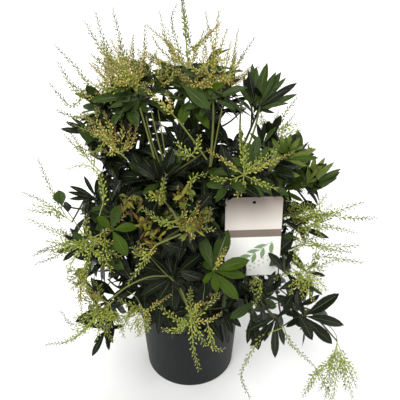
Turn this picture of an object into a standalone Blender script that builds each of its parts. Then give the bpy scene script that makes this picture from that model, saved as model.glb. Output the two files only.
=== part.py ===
"""Potted pieris: a broad evergreen shrub in a plastic nursery pot, with a plain label card on a stake.

Metres, +Z up. The origin is the centre of the pot's flat underside. Azimuths are in degrees, counted
anticlockwise from +X as seen from above, so 270 is the front of the plant.
"""

import math
import random

import bmesh
import bpy
from mathutils import Matrix, Vector
from mathutils.bvhtree import BVHTree

MM = 0.001
CLEAR = 0.3 * MM

# Pot: a five litre nursery pot with a collar, a rolled lip and drainage slots round its foot
POT_HEIGHT = 0.175
POT_LIP_RADIUS = 0.107
POT_FOOT_RADIUS = 0.0935
POT_FOOT_ROUNDING = 0.004
POT_WALL = 2.2 * MM
POT_COLLAR_HEIGHT = 0.030
POT_COLLAR_STEP = 1.0 * MM
POT_LIP_HEIGHT = 4.0 * MM
POT_SIDES = 36
DRAIN_SLOTS = 8
DRAIN_SLOT_WIDTH = 0.014
DRAIN_SLOT_HEIGHT = 1.8 * MM
DRAIN_SLOT_REACH = 0.030

# Compost: fills the pot to a finger's width under the lip
COMPOST_LEVEL = 0.158
COMPOST_HEAP = 3.0 * MM

# Trunk: short and hidden, with a root flare
TRUNK_RADII = (0.0170, 0.0130, 0.0112, 0.0100)
TRUNK_SHARES = (0.0, 0.14, 0.45, 1.0)
TRUNK_HEIGHT = 0.085
TRUNK_LEAN = Vector((-0.004, 0.003, 0.0))

# Label: a plain card on a stake, pushed into the compost at the front right
CARD_WIDTH = 0.100
CARD_HEIGHT = 0.160
CARD_THICKNESS = 0.8 * MM
CARD_CORNER = 0.006
CARD_HOLE_RADIUS = 2.2 * MM
CARD_HOLE_DROP = 0.010
CARD_CENTRE = Vector((0.116, -0.108, 0.405))
CARD_TILT = 6
CARD_TURN = 3
STAKE_FOOT = Vector((0.066, -0.050, COMPOST_LEVEL + COMPOST_HEAP + CLEAR))
STAKE_WIDTH = 0.012
STAKE_THICKNESS = 1.4 * MM

# Shoots: real pieris leaves are 50 to 80 mm long, and bud racemes 70 to 110 mm
STEM_LENGTH = 0.080
SHOOT_LENGTH = 0.052
SHOOT_SPREAD = 50
STEM_RADIUS = 2.6 * MM
SHOOT_RADIUS = 2.0 * MM
SHOOT_TIP_RADIUS = 1.6 * MM
LEADER_LEAVES = 7
SHOOT_LEAVES = 5
WHORL_DEPTH = 0.022
LEAF_SPLAY = (48, 88)
LEAF_LENGTH = 0.072
LEAF_WIDTH = 0.028
LEAF_THICKNESS = 1.8 * MM
LEAF_THICKEST = 0.30
LEAF_WIDEST = 0.56
LEAF_ROOT = 0.3 * MM
LEAF_FOLD = 2.0 * MM
LEAF_ARCH = 6.0 * MM
GOLDEN_ANGLE = 137.5
PEDUNCLE_LENGTH = 0.040
PEDUNCLE_RADIUS = 1.3 * MM
RACEME_LENGTH = 0.095
RACEME_RADIUS = 3.6 * MM
RACEME_TIP_RADIUS = 0.6 * MM
RACEME_ROOT = 0.3 * MM
RACEME_WIDEST = 0.34
RACEME_SPREAD = 52
SIDE_RACEMES = 3

# A leaf, shoot or raceme that doesn't fit is tried again turned by these degrees and at these lengths
TRIES = ((0, 1.0), (24, 1.0), (-24, 1.0), (0, 0.84), (40, 0.84), (-40, 0.84), (0, 0.68), (60, 0.68))

# What foliage keeps clear of
LIMB_MARGIN = 1.2 * MM
CELL_MARGIN = 0.4 * MM
POT_MARGIN = 2.0 * MM
CARD_MARGIN = 3.0 * MM

# Crown: how far from the pot's axis its growth reaches at each height
CROWN_PROFILE = (
    (0.03, 0.33),
    (0.12, 0.35),
    (0.22, 0.325),
    (0.47, 0.32),
    (0.60, 0.275),
    (0.70, 0.25),
    (0.76, 0.18),
    (0.80, 0.08),
)

# Masses of foliage: azimuth, reach and height of the middle whorl, then the lean of its shoot above
# level, the side shoots round it, how many shoots carry a panicle, and how far panicles droop, 0 to 1
MASSES = {
    "crown_right": (0, 0.034, 0.658, 84, 3, 3, 0.0),
    "crown_back": (88, 0.065, 0.650, 80, 3, 3, 0.0),
    "crown_left": (202, 0.084, 0.665, 74, 3, 3, 0.0),
    "shoulder_left": (189, 0.142, 0.612, 60, 3, 3, 0.05),
    "side_left_high": (199, 0.175, 0.545, 42, 3, 2, 0.1),
    "middle_high": (253, 0.145, 0.540, 52, 3, 0, 0.3),
    "middle": (270, 0.190, 0.490, 40, 3, 2, 0.15),
    "middle_left": (233, 0.190, 0.480, 40, 2, 2, 0.4),
    "front_left": (226, 0.228, 0.420, 25, 3, 3, 0.35),
    "left_out": (192, 0.190, 0.447, 34, 3, 2, 0.2),
    "left_low": (219, 0.220, 0.262, 14, 3, 3, 0.3),
    "left_low_back": (190, 0.180, 0.305, 20, 3, 1, 0.3),
    "inner_left": (165, 0.075, 0.400, 60, 2, 0, 0.0),
    "inner_top": (285, 0.055, 0.480, 75, 3, 0, 0.0),
    "front_rosette": (262, 0.188, 0.385, 32, 2, 1, 0.9),
    "front_bright": (285, 0.205, 0.420, 42, 2, 1, 0.3),
    "front_low": (274, 0.150, 0.272, 24, 3, 2, 0.75),
    "front_low_right": (308, 0.212, 0.305, 12, 3, 2, 0.8),
    "right_low": (333, 0.258, 0.242, 2, 3, 3, 0.9),
    "right_middle": (338, 0.190, 0.345, 18, 3, 3, 0.25),
    "right_side": (354, 0.185, 0.410, 26, 3, 3, 0.2),
    "right_out": (8, 0.238, 0.465, 42, 3, 0, 0.15),
    "right_high": (343, 0.176, 0.540, 52, 3, 0, 0.1),
    "right_star": (309, 0.160, 0.535, 48, 2, 3, 0.25),
    "crown_right_out": (20, 0.145, 0.598, 68, 3, 0, 0.0),
    "back_right_high": (62, 0.150, 0.560, 60, 3, 2, 0.1),
    "back_right": (42, 0.205, 0.430, 34, 3, 2, 0.2),
    "back_right_low": (38, 0.210, 0.285, 14, 3, 2, 0.4),
    "back": (92, 0.195, 0.400, 34, 3, 2, 0.3),
    "back_left_high": (138, 0.160, 0.545, 55, 3, 2, 0.1),
    "back_left": (150, 0.210, 0.415, 32, 3, 2, 0.2),
    "back_left_low": (135, 0.205, 0.275, 14, 3, 2, 0.4),
}

# Boughs: what each grows from and how far along it, its radius at the base, and the masses at its tip
BOUGHS = {
    "limb_top": ("trunk", 1.00, 0.0058, ("crown_right", "crown_back")),
    "limb_left_high": ("trunk", 0.70, 0.0055, ("crown_left", "shoulder_left")),
    "limb_left": ("trunk", 0.48, 0.0055, ("middle_left", "front_left")),
    "limb_front": ("trunk", 0.60, 0.0055, ("front_rosette", "front_bright")),
    "limb_right": ("trunk", 0.45, 0.0055, ("right_middle", "right_side")),
    "limb_right_high": ("trunk", 0.82, 0.0055, ("right_high", "right_star")),
    "limb_back_right": ("trunk", 0.66, 0.0055, ("back_right",)),
    "limb_back_left": ("trunk", 0.36, 0.0055, ("back",)),
    "bough_crown_right_out": ("limb_top", 0.55, 0.0038, ("crown_right_out",)),
    "bough_back_left_high": ("limb_top", 0.40, 0.0038, ("back_left_high",)),
    "bough_middle_high": ("limb_top", 0.30, 0.0038, ("middle_high", "inner_top")),
    "bough_side_left_high": ("limb_left_high", 0.45, 0.0038, ("side_left_high",)),
    "bough_left_out": ("limb_left_high", 0.25, 0.0038, ("left_out",)),
    "bough_left_low": ("limb_left", 0.22, 0.0040, ("left_low", "left_low_back")),
    "bough_middle": ("limb_front", 0.55, 0.0036, ("middle",)),
    "bough_front_low": ("trunk", 0.22, 0.0042, ("front_low",)),
    "bough_front_low_right": ("limb_right", 0.22, 0.0038, ("front_low_right",)),
    "bough_right_low": ("limb_right", 0.40, 0.0038, ("right_low",)),
    "bough_right_out": ("limb_right_high", 0.30, 0.0038, ("right_out",)),
    "bough_back_right_high": ("limb_back_right", 0.50, 0.0038, ("back_right_high",)),
    "bough_back_right_low": ("limb_back_right", 0.25, 0.0038, ("back_right_low",)),
    "bough_back_left": ("limb_back_left", 0.40, 0.0038, ("back_left",)),
    "bough_back_left_low": ("limb_back_left", 0.22, 0.0038, ("back_left_low",)),
}

# Masses whose stem leaves the trunk itself, and how far up it
INNER_MASSES = {"inner_left": 0.92}
BOUGH_TIP_RADIUS = 2.8 * MM
BOUGH_POINTS = 6
BOUGH_ARRIVAL = 0.45
BOUGH_STRAIGHT = 0.85

# A bough that would cross another is tried again this much further along its parent, and set off by
# these amounts: outwards where positive, and back along its parent where negative. Limbs are measured
# as round, and their flat sides lie a little further apart than that, so a joint's gap may be small.
BOUGH_SHIFTS = (0, 0.04, -0.04, 0.08, -0.08, 0.14, -0.14, 0.2, -0.2)
LIMB_SPACING = 1.0 * MM
LIMB_JOINT = 0.05 * MM
LIMB_SETTING_OFF = (0.7, 0.5, 0.9, 1.2)
BOUGH_SETTING_OFF = (-0.001, -0.2, 0.2, -0.4, 0.4, -0.7, 0.7)


def at(azimuth, reach, height):
    """The point at this azimuth, in degrees, reach from the pot's axis, and height."""
    turn = math.radians(azimuth)
    return Vector((reach * math.cos(turn), reach * math.sin(turn), height))


def heading(azimuth, lean):
    """The unit vector that points to this azimuth and lean above level, both in degrees."""
    rise = math.radians(lean)
    return at(azimuth, math.cos(rise), math.sin(rise))


def turned(direction, around, spread, azimuth):
    """A direction tipped by spread degrees away from another, at an azimuth round it."""
    side = direction.orthogonal().normalized() if around is None else around
    side = Matrix.Rotation(math.radians(azimuth), 3, direction) @ side
    return (Matrix.Rotation(math.radians(spread), 3, side) @ direction).normalized()


# Skeleton


def mass_centre(mass):
    azimuth, reach, height = MASSES[mass][:3]
    return at(azimuth, reach, height)


def mass_axis(mass):
    azimuth, _, _, lean = MASSES[mass][:4]
    return heading(azimuth, lean)


def bough_tip(bough):
    """Where the bough ends: a stem's length short of the masses that it carries."""
    masses = BOUGHS[bough][3]
    ends = [mass_centre(m) - mass_axis(m) * STEM_LENGTH for m in masses]
    return sum(ends, Vector()) / len(ends)


def trunk_path():
    """The trunk's axis: it leaves the ground upright, then leans a little."""
    foot = Vector((0, 0, COMPOST_LEVEL + COMPOST_HEAP + CLEAR))
    path = []
    for share, radius in zip(TRUNK_SHARES, TRUNK_RADII):
        lean = max(share - TRUNK_SHARES[1], 0) * TRUNK_LEAN
        path.append((foot + lean + Vector((0, 0, TRUNK_HEIGHT * share)), radius))
    return path


def along(path, share):
    """The point, radius and direction at a share of a path's length."""
    steps = [(b[0] - a[0]).length for a, b in zip(path, path[1:])]
    left = share * sum(steps)
    for (a, ra), (b, rb), step in zip(path, path[1:], steps):
        if left <= step or b is path[-1][0]:
            part = min(left / step, 1.0)
            return a.lerp(b, part), ra + (rb - ra) * part, (b - a).normalized()
        left -= step
    raise ValueError("the share is over one")


def clearance(point, path):
    """The distance from a point to the surface of a tapering limb with flat ends."""
    best = math.inf
    for (a, ra), (b, rb) in zip(path, path[1:]):
        run = b - a
        part = (point - a).dot(run) / run.length_squared
        inside = min(max(part, 0.0), 1.0)
        beyond = abs(part - inside) * run.length
        off_axis = (point - (a + run * part)).length
        off_side = off_axis - (ra + (rb - ra) * inside)
        gap = off_side if not beyond else math.hypot(beyond, max(off_side, 0.0))
        best = min(best, gap)
    return best


def disc(centre, direction, radius, count=12):
    """Points over a round section: its centre, a ring half way out, and its edge."""
    side = direction.orthogonal().normalized() * radius
    turns = [Matrix.Rotation(math.tau * i / count, 3, direction) for i in range(count)]
    return [centre] + [centre + turn @ side * share for turn in turns for share in (0.5, 1)]


def clear_start(path, start, direction, radius, gap=CLEAR):
    """Moves a limb's base along its direction until its end face is just clear of its parent."""
    near, far = 0.0, 0.05
    for _ in range(24):
        middle = (near + far) / 2
        face = disc(start + direction * middle, direction, radius)
        if min(clearance(p, path) for p in face) < gap:
            near = middle
        else:
            far = middle
    return start + direction * far


def bent_path(bough, parent, share, setting_off):
    """The bough's axis if it leaves its parent here, bent to meet its masses, as points with radii."""
    _, _, radius, masses = BOUGHS[bough]
    tip = bough_tip(bough)
    axis = sum((mass_axis(m) for m in masses), Vector()).normalized()
    root, _, parent_direction = along(parent, share)
    bend = tip - axis * (tip - root).length * BOUGH_ARRIVAL
    first = (bend - root).normalized()
    level = Vector((*first.xy, 0)).normalized()
    first += (level if setting_off > 0 else -parent_direction) * abs(setting_off)
    first.normalize()
    start = clear_start(parent, root, first, radius, LIMB_JOINT)
    bend = start + first * (bend - start).length * BOUGH_STRAIGHT
    for _ in range(12):
        path = []
        for i in range(BOUGH_POINTS):
            t = (i / (BOUGH_POINTS - 1)) ** 1.5
            point = start * (1 - t) ** 2 + bend * 2 * t * (1 - t) + tip * t**2
            path.append((point, radius + (BOUGH_TIP_RADIUS - radius) * t))
        face = disc(start, (path[1][0] - start).normalized(), radius)
        gap = min(clearance(p, parent) for p in face)
        if gap > 0.9 * LIMB_JOINT:
            break
        start = start + first * (LIMB_JOINT - gap)
    return path


def keeps_clear(path, parent, paths):
    """Whether a limb's surface is clear of its parent and well clear of every other limb."""
    for (a, ra), (b, rb) in zip(path, path[1:]):
        for share in (0, 0.25, 0.5, 0.75, 1):
            face = disc(a.lerp(b, share), (b - a).normalized(), ra + (rb - ra) * share)
            for other in paths:
                needed = 0.5 * LIMB_JOINT if other is parent else LIMB_SPACING
                if min(clearance(p, other) for p in face) < needed:
                    return False
    return True


def bough_path(bough, paths):
    """The bough's path, moved along its parent or set off more steeply until it is clear of the rest."""
    parent, share = BOUGHS[bough][:2]
    offs = LIMB_SETTING_OFF if parent == "trunk" else BOUGH_SETTING_OFF
    for shift in BOUGH_SHIFTS:
        for setting_off in offs:
            place = min(max(share + shift, 0.03), 1.0)
            path = bent_path(bough, paths[parent], place, setting_off)
            if keeps_clear(path, paths[parent], paths.values()):
                return path
    raise ValueError(f"{bough} crosses another limb")


def skeleton():
    """Every limb's path by name, parents first."""
    paths = {"trunk": trunk_path()}
    for bough in BOUGHS:
        paths[bough] = bough_path(bough, paths)
    return paths


# Growth rule


def stem_start(mass, paths):
    """Where a mass's stem meets its bough's tip or the trunk, beside its neighbour's stem where there are two."""
    if mass in INNER_MASSES:
        root = along(paths["trunk"], INNER_MASSES[mass])[0]
        return clear_start(paths["trunk"], root, (mass_centre(mass) - root).normalized(), STEM_RADIUS)
    bough = next(b for b, row in BOUGHS.items() if mass in row[3])
    tip = paths[bough][-1][0]
    run = (tip - paths[bough][-2][0]).normalized()
    neighbours = [mass_centre(m) for m in BOUGHS[bough][3]]
    away = mass_centre(mass) - sum(neighbours, Vector()) / len(neighbours)
    away = (away - run * away.dot(run)).normalized()
    start = tip + away * (STEM_RADIUS + CLEAR)
    return clear_start(paths[bough], start, (mass_centre(mass) - start).normalized(), STEM_RADIUS)


def seed_of(mass, kind, number=0):
    return random.Random(f"{mass} {kind} {number}")


def shoots_of(mass, start, room):
    """The points of each shoot, fork to tip. The first is the mass's stem, and the rest leave it."""
    rule = seed_of(mass, "shoots")
    centre = mass_centre(mass)
    aim = (centre - start).normalized()
    shoots = [[start, centre]]
    count = MASSES[mass][4]
    first_turn = rule.uniform(0, 360)
    for i in range(count):
        fork = start.lerp(centre, 0.30 + 0.32 * i / max(count - 1, 1))
        spread = SHOOT_SPREAD + rule.uniform(-7, 7)
        turn = first_turn + 360 * i / count + rule.uniform(-18, 18)
        full = SHOOT_LENGTH * rule.uniform(0.85, 1.12)
        for more, scale in TRIES:
            away = turned(aim, None, spread, turn + more)
            rising = (away + Vector((0, 0, 0.35))).normalized()
            bend = fork + away * full * scale * 0.5
            tip = bend + rising * full * scale * 0.5
            if room.holds([bend, tip, tip + rising * 0.02]):
                shoots.append([fork, bend, tip])
                break
    return shoots


def leaf_choices(mass, shoot_number, shoot, k, count):
    """The places that leaf k of a shoot's whorl may take, best first, as (root, direction, upper, length)."""
    tip = shoot[-1]
    direction = (tip - shoot[-2]).normalized()
    rule = seed_of(mass, f"leaf {shoot_number}", k)
    root = tip - direction * WHORL_DEPTH * (k + 0.3) / count
    splay = LEAF_SPLAY[0] + (LEAF_SPLAY[1] - LEAF_SPLAY[0]) * k / count + rule.uniform(-7, 7)
    turn = GOLDEN_ANGLE * k + rule.uniform(-10, 10)
    full = LEAF_LENGTH * rule.uniform(0.86, 1.08)
    for more, scale in TRIES:
        outward = turned(direction, None, splay, turn + more)
        upper = (direction - outward * direction.dot(outward)).normalized()
        yield root, outward, upper, full * scale


def leaf_points(root, outward, upper, length):
    side = outward.cross(upper) * LEAF_WIDTH / 2
    middle = root + outward * length * LEAF_WIDEST
    return [root + outward * length, middle + side, middle - side, middle]


def stalk_choices(mass, shoot_number, shoot):
    """What a panicle's stalk may be beyond its shoot's tip: its middle, its end, and its last raceme's tip."""
    rule = seed_of(mass, "stalk", shoot_number)
    tip = shoot[-1]
    direction = (tip - shoot[-2]).normalized()
    pull = panicle_pull(mass)
    middle_direction = (direction + pull * 0.6).normalized()
    end_direction = (middle_direction + pull).normalized()
    last_direction = (end_direction + pull * 0.25).normalized()
    length = PEDUNCLE_LENGTH * rule.uniform(0.8, 1.1) * (1 + 1.2 * MASSES[mass][6])
    last = RACEME_LENGTH * rule.uniform(0.95, 1.15)
    for scale in (1.0, 0.8, 0.6):
        middle = tip + middle_direction * length * scale * 0.5
        end = middle + end_direction * length * scale * 0.5
        yield middle, end, end + last_direction * last * scale


def raceme_choices(mass, shoot_number, stalk, i):
    """The runs, root to tip, that side raceme i of a panicle may take, best first."""
    rule = seed_of(mass, f"raceme {shoot_number}", i)
    middle, end, _ = stalk
    root = middle.lerp(end, 0.2 + 0.7 * i / SIDE_RACEMES)
    spread = RACEME_SPREAD + rule.uniform(-8, 8)
    turn = seed_of(mass, "panicle", shoot_number).uniform(0, 360) + GOLDEN_ANGLE * i
    full = RACEME_LENGTH * rule.uniform(0.75, 1.0)
    for more, scale in TRIES:
        away = turned((end - middle).normalized(), None, spread, turn + more)
        bent = (away + panicle_pull(mass) * 0.35).normalized()
        yield root, root + bent * full * scale


def panicle_pull(mass):
    """Up for an upright panicle, and down for one that hangs."""
    return Vector((0, 0, 0.35 - 1.5 * MASSES[mass][6]))


# Room that each mass keeps to


def off_segment(point, start, end):
    run = end - start
    part = min(max((point - start).dot(run) / run.length_squared, 0.0), 1.0)
    return (point - (start + run * part)).length


def off_card(point):
    """How far a point is from the label's card or its stake."""
    turn = card_matrix().inverted() @ point
    card = Vector((max(abs(turn.x) - CARD_WIDTH / 2, 0), max(abs(turn.y) - CARD_HEIGHT / 2, 0), turn.z))
    stake_top = card_matrix() @ Vector((0, -CARD_HEIGHT / 2, 0))
    return min(card.length, off_segment(point, STAKE_FOOT, stake_top) - STAKE_WIDTH / 2)


def crown_reach(height):
    """How far out growth may reach at a height, between the profile's points."""
    for (low, near), (high, far) in zip(CROWN_PROFILE, CROWN_PROFILE[1:]):
        if low <= height <= high:
            return near + (far - near) * (height - low) / (high - low)
    return 0.0


def pot_radius(height):
    share = min(max(height / POT_HEIGHT, 0.0), 1.0)
    return POT_FOOT_RADIUS + (POT_LIP_RADIUS - POT_FOOT_RADIUS) * share


class Room:
    """The space that is nearer one mass's stem than another's, clear of limbs, pot, compost and label."""

    def __init__(self, mass, cells, paths):
        self.own = cells[mass]
        self.others = [cell for name, cell in cells.items() if name != mass]
        self.paths = list(paths.values())

    def holds(self, points):
        return all(self.holds_point(p) for p in points)

    def holds_point(self, p):
        own = off_segment(p, *self.own) + 2 * CELL_MARGIN
        if any(off_segment(p, *cell) < own for cell in self.others):
            return False
        if p.xy.length > crown_reach(p.z) or off_card(p) < CARD_MARGIN:
            return False
        outside_pot = p.xy.length - pot_radius(p.z)
        if p.z < POT_HEIGHT + POT_MARGIN and outside_pot < POT_MARGIN:
            return False
        return all(clearance(p, path) > LIMB_MARGIN for path in self.paths)


# Building with Blender's tools


def make_material(name, colour, roughness, metallic=0.0):
    material = bpy.data.materials.new(name)
    material.use_nodes = True
    shader = material.node_tree.nodes["Principled BSDF"]
    shader.inputs["Base Color"].default_value = (*colour, 1)
    shader.inputs["Roughness"].default_value = roughness
    shader.inputs["Metallic"].default_value = metallic
    return material


def mesh_object(name, mesh, collection, material=None):
    made = bpy.data.objects.new(name, mesh)
    collection.objects.link(made)
    if material:
        mesh.materials.append(material)
    return made


def frame_of(along_axis, up):
    """A rotation whose X runs along one direction and whose Z is nearest another."""
    x = along_axis.normalized()
    y = up.cross(x).normalized()
    return Matrix((x, y, x.cross(y))).transposed()


def leaf_mesh(root, outward, upper, length):
    """A flattened sphere of eight faces, drawn out to a leaf that folds up at its edges."""
    shape = bmesh.new()
    bmesh.ops.create_uvsphere(shape, u_segments=4, v_segments=2, radius=1)
    for v in shape.verts:
        x, y, z = v.co
        if abs(z) > 0.5:
            v.co = Vector((LEAF_THICKEST * length, 0, z * LEAF_THICKNESS / 2))
        elif abs(y) > 0.5:
            v.co = Vector((LEAF_WIDEST * length, y * LEAF_WIDTH / 2, LEAF_FOLD))
        else:
            v.co = Vector((length if x > 0 else -LEAF_ROOT, 0, -LEAF_ARCH if x > 0 else -LEAF_ARCH * 0.3))
    place = Matrix.Translation(root) @ frame_of(outward, upper).to_4x4()
    bmesh.ops.transform(shape, matrix=place, verts=shape.verts)
    mesh = bpy.data.meshes.new("leaf")
    shape.to_mesh(mesh)
    shape.free()
    return mesh


def limb_mesh(path):
    """A three-sided limb through points with radii, drawn out from a triangle face by face."""
    shape = bmesh.new()
    bmesh.ops.create_circle(shape, cap_ends=True, segments=3, radius=1)
    runs = [(b[0] - a[0]).normalized() for a, b in zip(path, path[1:])]
    runs = [runs[0]] + [(a + b).normalized() for a, b in zip(runs, runs[1:])] + [runs[-1]]
    frame = runs[0].to_track_quat("Z", "Y").to_matrix()
    corners = [v.co.copy() for v in shape.verts]
    ring_verts = list(shape.verts)
    end_face = shape.faces[:][0]
    if end_face.normal.z > 0:
        bmesh.ops.reverse_faces(shape, faces=[end_face])
    for i, ((place, radius), run) in enumerate(zip(path, runs)):
        if i:
            passed = end_face
            drawn = bmesh.ops.extrude_face_region(shape, geom=[passed])["geom"]
            end_face = next(g for g in drawn if isinstance(g, bmesh.types.BMFace))
            if i > 1:
                bmesh.ops.delete(shape, geom=[passed], context="FACES_ONLY")
            near = {tuple(v.co): v for v in end_face.verts}
            ring_verts = [near[tuple(v.co)] for v in ring_verts]
            frame = runs[i - 1].rotation_difference(run).to_matrix() @ frame
        for v, corner in zip(ring_verts, corners):
            v.co = place + frame @ (corner * radius)
    bmesh.ops.recalc_face_normals(shape, faces=shape.faces)
    mesh = bpy.data.meshes.new("limb")
    shape.to_mesh(mesh)
    shape.free()
    return mesh


def raceme_mesh(root, tip):
    """A slim three-sided spindle, as wide as the raceme's buds reach."""
    shape = bmesh.new()
    bmesh.ops.create_uvsphere(shape, u_segments=3, v_segments=2, radius=1)
    length = (tip - root).length
    for v in shape.verts:
        if abs(v.co.z) > 0.5:
            v.co = Vector((length if v.co.z > 0 else -RACEME_ROOT, 0, 0))
        else:
            v.co = Vector((length * RACEME_WIDEST, v.co.x * RACEME_RADIUS, v.co.y * RACEME_RADIUS))
    direction = (tip - root).normalized()
    place = Matrix.Translation(root) @ frame_of(direction, direction.orthogonal()).to_4x4()
    bmesh.ops.transform(shape, matrix=place, verts=shape.verts)
    mesh = bpy.data.meshes.new("raceme")
    shape.to_mesh(mesh)
    shape.free()
    return mesh


def keep_largest_body(mesh):
    """Drops loose scraps, and the inner walls of any hollow that the union sealed."""
    shape = bmesh.new()
    shape.from_mesh(mesh)
    left = set(shape.faces)
    bodies = []
    while left:
        edge_of_search = [left.pop()]
        body = set(edge_of_search)
        while edge_of_search:
            for edge in edge_of_search.pop().edges:
                beside = set(edge.link_faces) - body if len(edge.link_faces) == 2 else ()
                for face in beside:
                    body.add(face)
                    left.discard(face)
                    edge_of_search.append(face)
        bodies.append(body)
    largest = max(bodies, key=len)
    scraps = [face for body in bodies if body is not largest for face in body]
    bmesh.ops.delete(shape, geom=scraps, context="FACES")
    shape.to_mesh(mesh)
    shape.free()


def fused(name, meshes, collection, material):
    """One object from several closed meshes, joined by a Boolean union on a collection."""
    operands = bpy.data.collections.new("operands")
    bpy.context.scene.collection.children.link(operands)
    first = mesh_object(name, meshes[0], collection)
    for i, mesh in enumerate(meshes[1:]):
        mesh_object(f"operand_{i}", mesh, operands)
    union = first.modifiers.new("union", "BOOLEAN")
    union.operation = "UNION"
    union.operand_type = "COLLECTION"
    union.collection = operands
    union.solver = "MANIFOLD"
    graph = bpy.context.evaluated_depsgraph_get()
    joined = bpy.data.meshes.new_from_object(first.evaluated_get(graph))
    first.modifiers.remove(union)
    first.data = joined
    joined.name = name
    for obj in list(operands.objects):
        bpy.data.objects.remove(obj)
    bpy.data.collections.remove(operands)
    keep_largest_body(joined)
    joined.materials.clear()
    joined.materials.append(material)
    return first


def limb_object(name, path, sides, collection, material):
    """A tapering limb: a straight-run curve with a round bevel and filled caps."""
    curve = bpy.data.curves.new(name, "CURVE")
    curve.dimensions = "3D"
    curve.bevel_depth = 1.0
    curve.bevel_resolution = (sides - 4) // 2
    curve.use_fill_caps = True
    spline = curve.splines.new("POLY")
    spline.points.add(len(path) - 1)
    for point, (place, radius) in zip(spline.points, path):
        point.co = (*place, 1)
        point.radius = radius
    made = bpy.data.objects.new(name, curve)
    collection.objects.link(made)
    curve.materials.append(material)
    return made


def outline_object(name, outline, thickness, collection):
    """A closed flat shape of even thickness, lying in the XY plane, as a mesh."""
    curve = bpy.data.curves.new(name, "CURVE")
    curve.dimensions = "2D"
    curve.fill_mode = "BOTH"
    curve.extrude = thickness / 2
    for loop in outline:
        spline = curve.splines.new("POLY")
        spline.points.add(len(loop) - 1)
        for point, (x, y) in zip(spline.points, loop):
            point.co = (x, y, 0, 1)
        spline.use_cyclic_u = True
    source = bpy.data.objects.new(name + "_outline", curve)
    collection.objects.link(source)
    graph = bpy.context.evaluated_depsgraph_get()
    mesh = bpy.data.meshes.new_from_object(source.evaluated_get(graph))
    bpy.data.objects.remove(source)
    shape = bmesh.new()
    shape.from_mesh(mesh)
    bmesh.ops.remove_doubles(shape, verts=shape.verts, dist=0.00001)
    bmesh.ops.recalc_face_normals(shape, faces=shape.faces)
    shape.to_mesh(mesh)
    shape.free()
    return mesh


# Pot, compost and label


def pot_profile():
    """The pot's half section, down its outside from the lip and back up its inside."""
    collar_foot = POT_HEIGHT - POT_COLLAR_HEIGHT
    rounding = [
        (
            POT_FOOT_RADIUS - POT_FOOT_ROUNDING * (1 - math.cos(math.radians(a))),
            POT_FOOT_ROUNDING * (1 - math.sin(math.radians(a))),
        )
        for a in (0, 45, 90)
    ]
    lip = POT_LIP_RADIUS
    under_lip = lip - POT_COLLAR_STEP
    under_collar = pot_radius(collar_foot) - POT_COLLAR_STEP * 2
    outside = [
        (lip - 0.8 * MM, POT_HEIGHT),
        (lip, POT_HEIGHT - 0.8 * MM),
        (lip, POT_HEIGHT - POT_LIP_HEIGHT),
        (under_lip, POT_HEIGHT - POT_LIP_HEIGHT - POT_COLLAR_STEP),
        (under_lip - 1.0 * MM, collar_foot + POT_COLLAR_STEP),
        (under_collar, collar_foot),
        *rounding,
        (0.0, 0.0),
    ]
    inside = [
        (0.0, 2 * POT_WALL),
        (POT_FOOT_RADIUS - POT_WALL - POT_FOOT_ROUNDING, 2 * POT_WALL),
        (POT_FOOT_RADIUS - POT_WALL, 2 * POT_WALL + POT_FOOT_ROUNDING),
        (under_collar - POT_WALL, collar_foot),
        (under_lip - 1.0 * MM - POT_WALL, POT_HEIGHT - POT_LIP_HEIGHT),
        (lip - 1.2 * MM - POT_WALL, POT_HEIGHT),
    ]
    return outside, inside


def turned_mesh(name, profile, sides):
    """Turns an open profile round Z with a Screw modifier, merging its ends on the axis."""
    mesh = bpy.data.meshes.new(name)
    shape = bmesh.new()
    verts = [shape.verts.new((r, 0, z)) for r, z in profile]
    for a, b in zip(verts, verts[1:]):
        shape.edges.new((a, b))
    shape.to_mesh(mesh)
    shape.free()
    source = bpy.data.objects.new(name, mesh)
    bpy.context.scene.collection.objects.link(source)
    screw = source.modifiers.new("turn", "SCREW")
    screw.steps = screw.render_steps = sides
    screw.use_merge_vertices = True
    screw.merge_threshold = 0.00001
    graph = bpy.context.evaluated_depsgraph_get()
    made = bpy.data.meshes.new_from_object(source.evaluated_get(graph))
    bpy.data.objects.remove(source)
    shape = bmesh.new()
    shape.from_mesh(made)
    bmesh.ops.remove_doubles(shape, verts=shape.verts, dist=0.00001)
    bmesh.ops.recalc_face_normals(shape, faces=shape.faces)
    shape.to_mesh(made)
    shape.free()
    return made


def make_pot(collection, cutters, material):
    """The turned pot, with a row of drainage slots cut into the edge of its foot."""
    outside, inside = pot_profile()
    lip_to_lip = outside + inside + outside[:1]
    pot = mesh_object("pot", turned_mesh("pot", lip_to_lip, POT_SIDES), collection, material)
    for i in range(DRAIN_SLOTS):
        bpy.ops.mesh.primitive_cube_add(size=1)
        slot = bpy.context.active_object
        slot.name = f"drain_slot_{i}"
        slot.data.transform(Matrix.Diagonal((DRAIN_SLOT_REACH, DRAIN_SLOT_WIDTH, 2 * DRAIN_SLOT_HEIGHT, 1)))
        turn = math.tau * (i + 0.5) / DRAIN_SLOTS
        slot.location = at(math.degrees(turn), POT_FOOT_RADIUS, 0)
        slot.rotation_euler.z = turn
        for owner in list(slot.users_collection):
            owner.objects.unlink(slot)
        cutters.objects.link(slot)
        slot.hide_render = True
        slot.display_type = "WIRE"
    cut = pot.modifiers.new("drain_slots", "BOOLEAN")
    cut.operation = "DIFFERENCE"
    cut.operand_type = "COLLECTION"
    cut.collection = cutters
    return pot


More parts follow.
